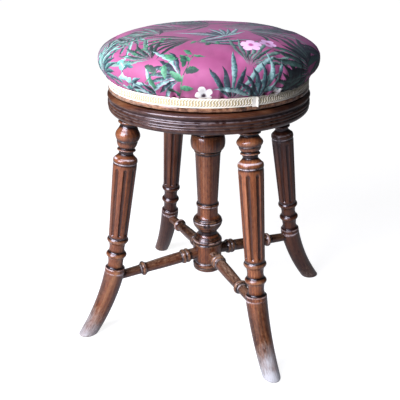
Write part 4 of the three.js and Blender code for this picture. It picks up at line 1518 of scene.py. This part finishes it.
# %% Woven gimp
gimp, tree = start_material("cream_cotton_gimp")
place = tree.nodes.new("ShaderNodeTexCoord").outputs["Object"]
fuzz = add(tree, "ShaderNodeTexNoise", {"Vector": place, "Scale": per(1.2), "Detail": 3})
soil = add(tree, "ShaderNodeTexNoise", {"Vector": place, "Scale": per(40), "Detail": 3})
soil = add(tree, "ShaderNodeMath", [soil, 0.6], operation="MULTIPLY")
soil = add(tree, "ShaderNodeMath", [fuzz, 0.4, soil], operation="MULTIPLY_ADD")
cream = add(
    tree,
    "ShaderNodeValToRGB",
    {"Fac": soil},
    stops=[(0.3, "#dcd3ba"), (0.62, "#f6f0e2")],
)
bump = add(tree, "ShaderNodeBump", {"Height": fuzz, "Strength": 0.5, "Distance": 0.2 * MM})
look = {
    "Base Color": cream,
    "Roughness": 0.85,
    "IOR": 1.46,
    "Normal": bump,
    "Sheen Weight": 0.3,
    "Sheen Roughness": 0.5,
}
shader = add(tree, "ShaderNodeBsdfPrincipled", look)
add(tree, "ShaderNodeOutputMaterial", {"Surface": shader})
# The ground band between the scrolls gets a darker, duller copy of the cream: painted shade.
shaded_gimp, tree = start_material("shaded_cotton_gimp")
place = tree.nodes.new("ShaderNodeTexCoord").outputs["Object"]
fuzz = add(tree, "ShaderNodeTexNoise", {"Vector": place, "Scale": per(1.2), "Detail": 3})
shaded = add(
    tree,
    "ShaderNodeValToRGB",
    {"Fac": fuzz},
    stops=[(0.3, "#a3936f"), (0.7, "#c9bb97")],
)
shader = add(tree, "ShaderNodeBsdfPrincipled", {"Base Color": shaded, "Roughness": 0.95})
add(tree, "ShaderNodeOutputMaterial", {"Surface": shader})

BRAID_LOW, BRAID_HIGH, BRAID_RADIUS = BOARD_LOW + 6.3, BOARD_LOW + 20.3, 163.6
BAND = 0.7  # mm of thickness of the ground band
band_outline = [
    (BRAID_RADIUS, BRAID_LOW),
    (BRAID_RADIUS + BAND, BRAID_LOW),
    (BRAID_RADIUS + BAND, BRAID_HIGH),
    (BRAID_RADIUS, BRAID_HIGH),
]
band = lathe(band_outline, 192, closed=True)
finish_piece("gimp_ground", band, shaded_gimp, "seat", [])

SCROLLS = 236
SCROLL_STEPS = 8
EDGE_CORD, SCROLL_CORD = 0.5, 0.72  # mm of radius


def linked(verts, kind):
    """The edges or faces at these points, each once."""
    return list(dict.fromkeys(item for vert in verts for item in getattr(vert, kind)))


def only(items, kind):
    """Those of the items that are of one kind."""
    return [item for item in items if isinstance(item, kind)]


def scroll_side(part):
    """How far a scroll's cord lies to the side, in pitches, at a share of its height."""
    return -0.7 * math.cos(math.pi * part) + 0.55 * math.sin(2 * math.pi * part)


cords = bmesh.new()
upright = Matrix.Rotation(math.pi / 2, 4, "X")
for height in (BRAID_LOW + 0.6, BRAID_HIGH - 0.6, BRAID_LOW + 1.6, BRAID_HIGH - 1.6):
    stand = Matrix.Translation(((BRAID_RADIUS + 0.95) * MM, 0, height * MM)) @ upright
    ring = bmesh.ops.create_circle(cords, segments=7, radius=EDGE_CORD * MM, matrix=stand)["verts"]
    spin_round(cords, ring + linked(ring, "link_edges"), 288)
scroll_height = BRAID_HIGH - BRAID_LOW - 3.0
pitch = 2 * math.pi * BRAID_RADIUS / SCROLLS
foot_of_scroll = Vector((BRAID_RADIUS + 1.05, scroll_side(0) * pitch, BRAID_LOW + 1.5)) * MM
template = bmesh.ops.create_circle(
    cords,
    cap_ends=True,
    segments=5,
    radius=SCROLL_CORD * MM,
    matrix=Matrix.Translation(foot_of_scroll),
)["verts"]
top_face = linked(template, "link_faces")[0]
for step in range(SCROLL_STEPS):
    made = bmesh.ops.extrude_face_region(cords, geom=[top_face], use_keep_orig=step == 0)["geom"]
    moved = only(made, bmesh.types.BMVert)
    top_face = only(made, bmesh.types.BMFace)[0]
    aside = scroll_side((step + 1) / SCROLL_STEPS) - scroll_side(step / SCROLL_STEPS)
    rise = scroll_height / SCROLL_STEPS
    bmesh.ops.translate(cords, verts=moved, vec=(0, aside * pitch * MM, rise * MM))
    template += moved
scroll = template + linked(template, "link_edges") + linked(template, "link_faces")
for number in range(1, SCROLLS):
    copy = bmesh.ops.duplicate(cords, geom=scroll)["geom"]
    turn = Matrix.Rotation(2 * math.pi * number / SCROLLS, 3, "Z")
    bmesh.ops.rotate(cords, verts=only(copy, bmesh.types.BMVert), cent=(0, 0, 0), matrix=turn)
bmesh.ops.recalc_face_normals(cords, faces=cords.faces)
finish_piece("gimp_scrolls", cords, gimp, "seat", ["gimp_braid"])

# The braid's end laps over its start at the front right, bent round the seat and lifted at its free end.
LAP_LENGTH, LAP_AZIMUTH = 9.0, math.radians(-47)
lap = bmesh.new()
bmesh.ops.create_grid(lap, x_segments=12, y_segments=8, size=0.5)
draw = random.Random(3)
for vert in lap.verts:
    along, up = vert.co.x, vert.co.y
    frayed = draw.uniform(-0.9, 0.9) if along > 0.45 else 0.0
    out = BRAID_RADIUS + 2.0 + 1.6 * smoothly(0.1, 0.5, along) + 0.3 * math.sin(up * 9)
    turn = LAP_AZIMUTH + (along * LAP_LENGTH + frayed) / BRAID_RADIUS
    height = BRAID_LOW + (up + 0.5) * (BRAID_HIGH - BRAID_LOW) - 1.2 * smoothly(0.2, 0.5, along)
    vert.co = Vector((out * math.cos(turn), out * math.sin(turn), height)) * MM
bmesh.ops.solidify(lap, geom=lap.faces, thickness=0.9 * MM)
finish_piece("gimp_lap", lap, gimp, "seat", [])

# %% [markdown]
# ## Lifting screw
#
# The screw is a coarse square-cut thread, seen when the seat is wound up. One tooth's outline is spun
# and raised by the pitch at each turn, which is how a lathe cuts it, and the two ends are cut off flat.

# %% Lifting screw
SCREW_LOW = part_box("lift_screw")[0].z / MM
PITCH, TURNS, TURN_STEPS = 10.0, 17, 36
THREAD_TOP, THREAD_LOW = BOARD_LOW - 10.7, BOARD_LOW - 158.9
# radius and height of the upper half of one tooth's outline
half_tooth = [(9.5, 1.45), (9.3, 1.75), (7.5, 2.6), (7.5, 5.0)]
tooth = [(radius, -height) for radius, height in reversed(half_tooth)] + half_tooth
lowest_tooth = THREAD_TOP - PITCH * (TURNS - 1)
work = bmesh.new()
ring = [work.verts.new((0, -radius * MM, (lowest_tooth + height) * MM)) for radius, height in tooth]
lines = [work.edges.new(pair) for pair in zip(ring, ring[1:])]
bmesh.ops.spin(
    work,
    geom=ring + lines,
    cent=(0, 0, 0),
    axis=(0, 0, 1),
    dvec=(0, 0, PITCH / TURN_STEPS * MM),
    angle=2 * math.pi * TURNS,
    steps=TURN_STEPS * TURNS,
)
bmesh.ops.remove_doubles(work, verts=work.verts, dist=0.01 * MM)
for height, normal in ((THREAD_LOW, (0, 0, -1)), (THREAD_TOP, (0, 0, 1))):
    cut = bmesh.ops.bisect_plane(
        work,
        geom=work.verts[:] + work.edges[:] + work.faces[:],
        plane_co=(0, 0, height * MM),
        plane_no=normal,
        clear_outer=True,
    )["geom_cut"]
    bmesh.ops.contextual_create(work, geom=only(cut, bmesh.types.BMEdge))
bmesh.ops.recalc_face_normals(work, faces=work.faces)
screw_ends = [
    (0.0, SCREW_LOW),
    (5.5, SCREW_LOW),
    (5.5, THREAD_LOW + 0.9),
    (7.4, THREAD_LOW + 0.9),
    (7.4, THREAD_TOP - 0.3),
    (6.8, THREAD_TOP + 0.7),
    (6.8, BOARD_LOW),
    (10.0, BOARD_LOW),
    (9.0, BOARD_LOW + 2.2),
    (0.0, BOARD_LOW + 2.5),
]
join(work, lathe(eased(screw_ends), 36))
finish_piece("lifting_screw", work, iron, "seat", ["lift_screw"])

# %% [markdown]
# ## Ironwork that keeps its solid
#
# The nut, flange, washer, pin and wood screws are plain metal shapes, so their solids stay and only get
# a finish.

# %% Metal solids
for name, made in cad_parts.items():
    if name in ("screw_nut", "seat_flange", "stop_washer"):
        made.data.materials.clear()
        made.data.materials.append(iron)
    if name.startswith(("nut_screw", "flange_screw", "stop_pin")):
        made.data.materials.clear()
        made.data.materials.append(steel)

# %% [markdown]
# ## Size and finish
#
# The finished stool is meant to stay as large as its solids; its box is printed.

# %% Finish
low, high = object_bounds()
print("visual box", [round(value, 4) for value in (*low, *high)])
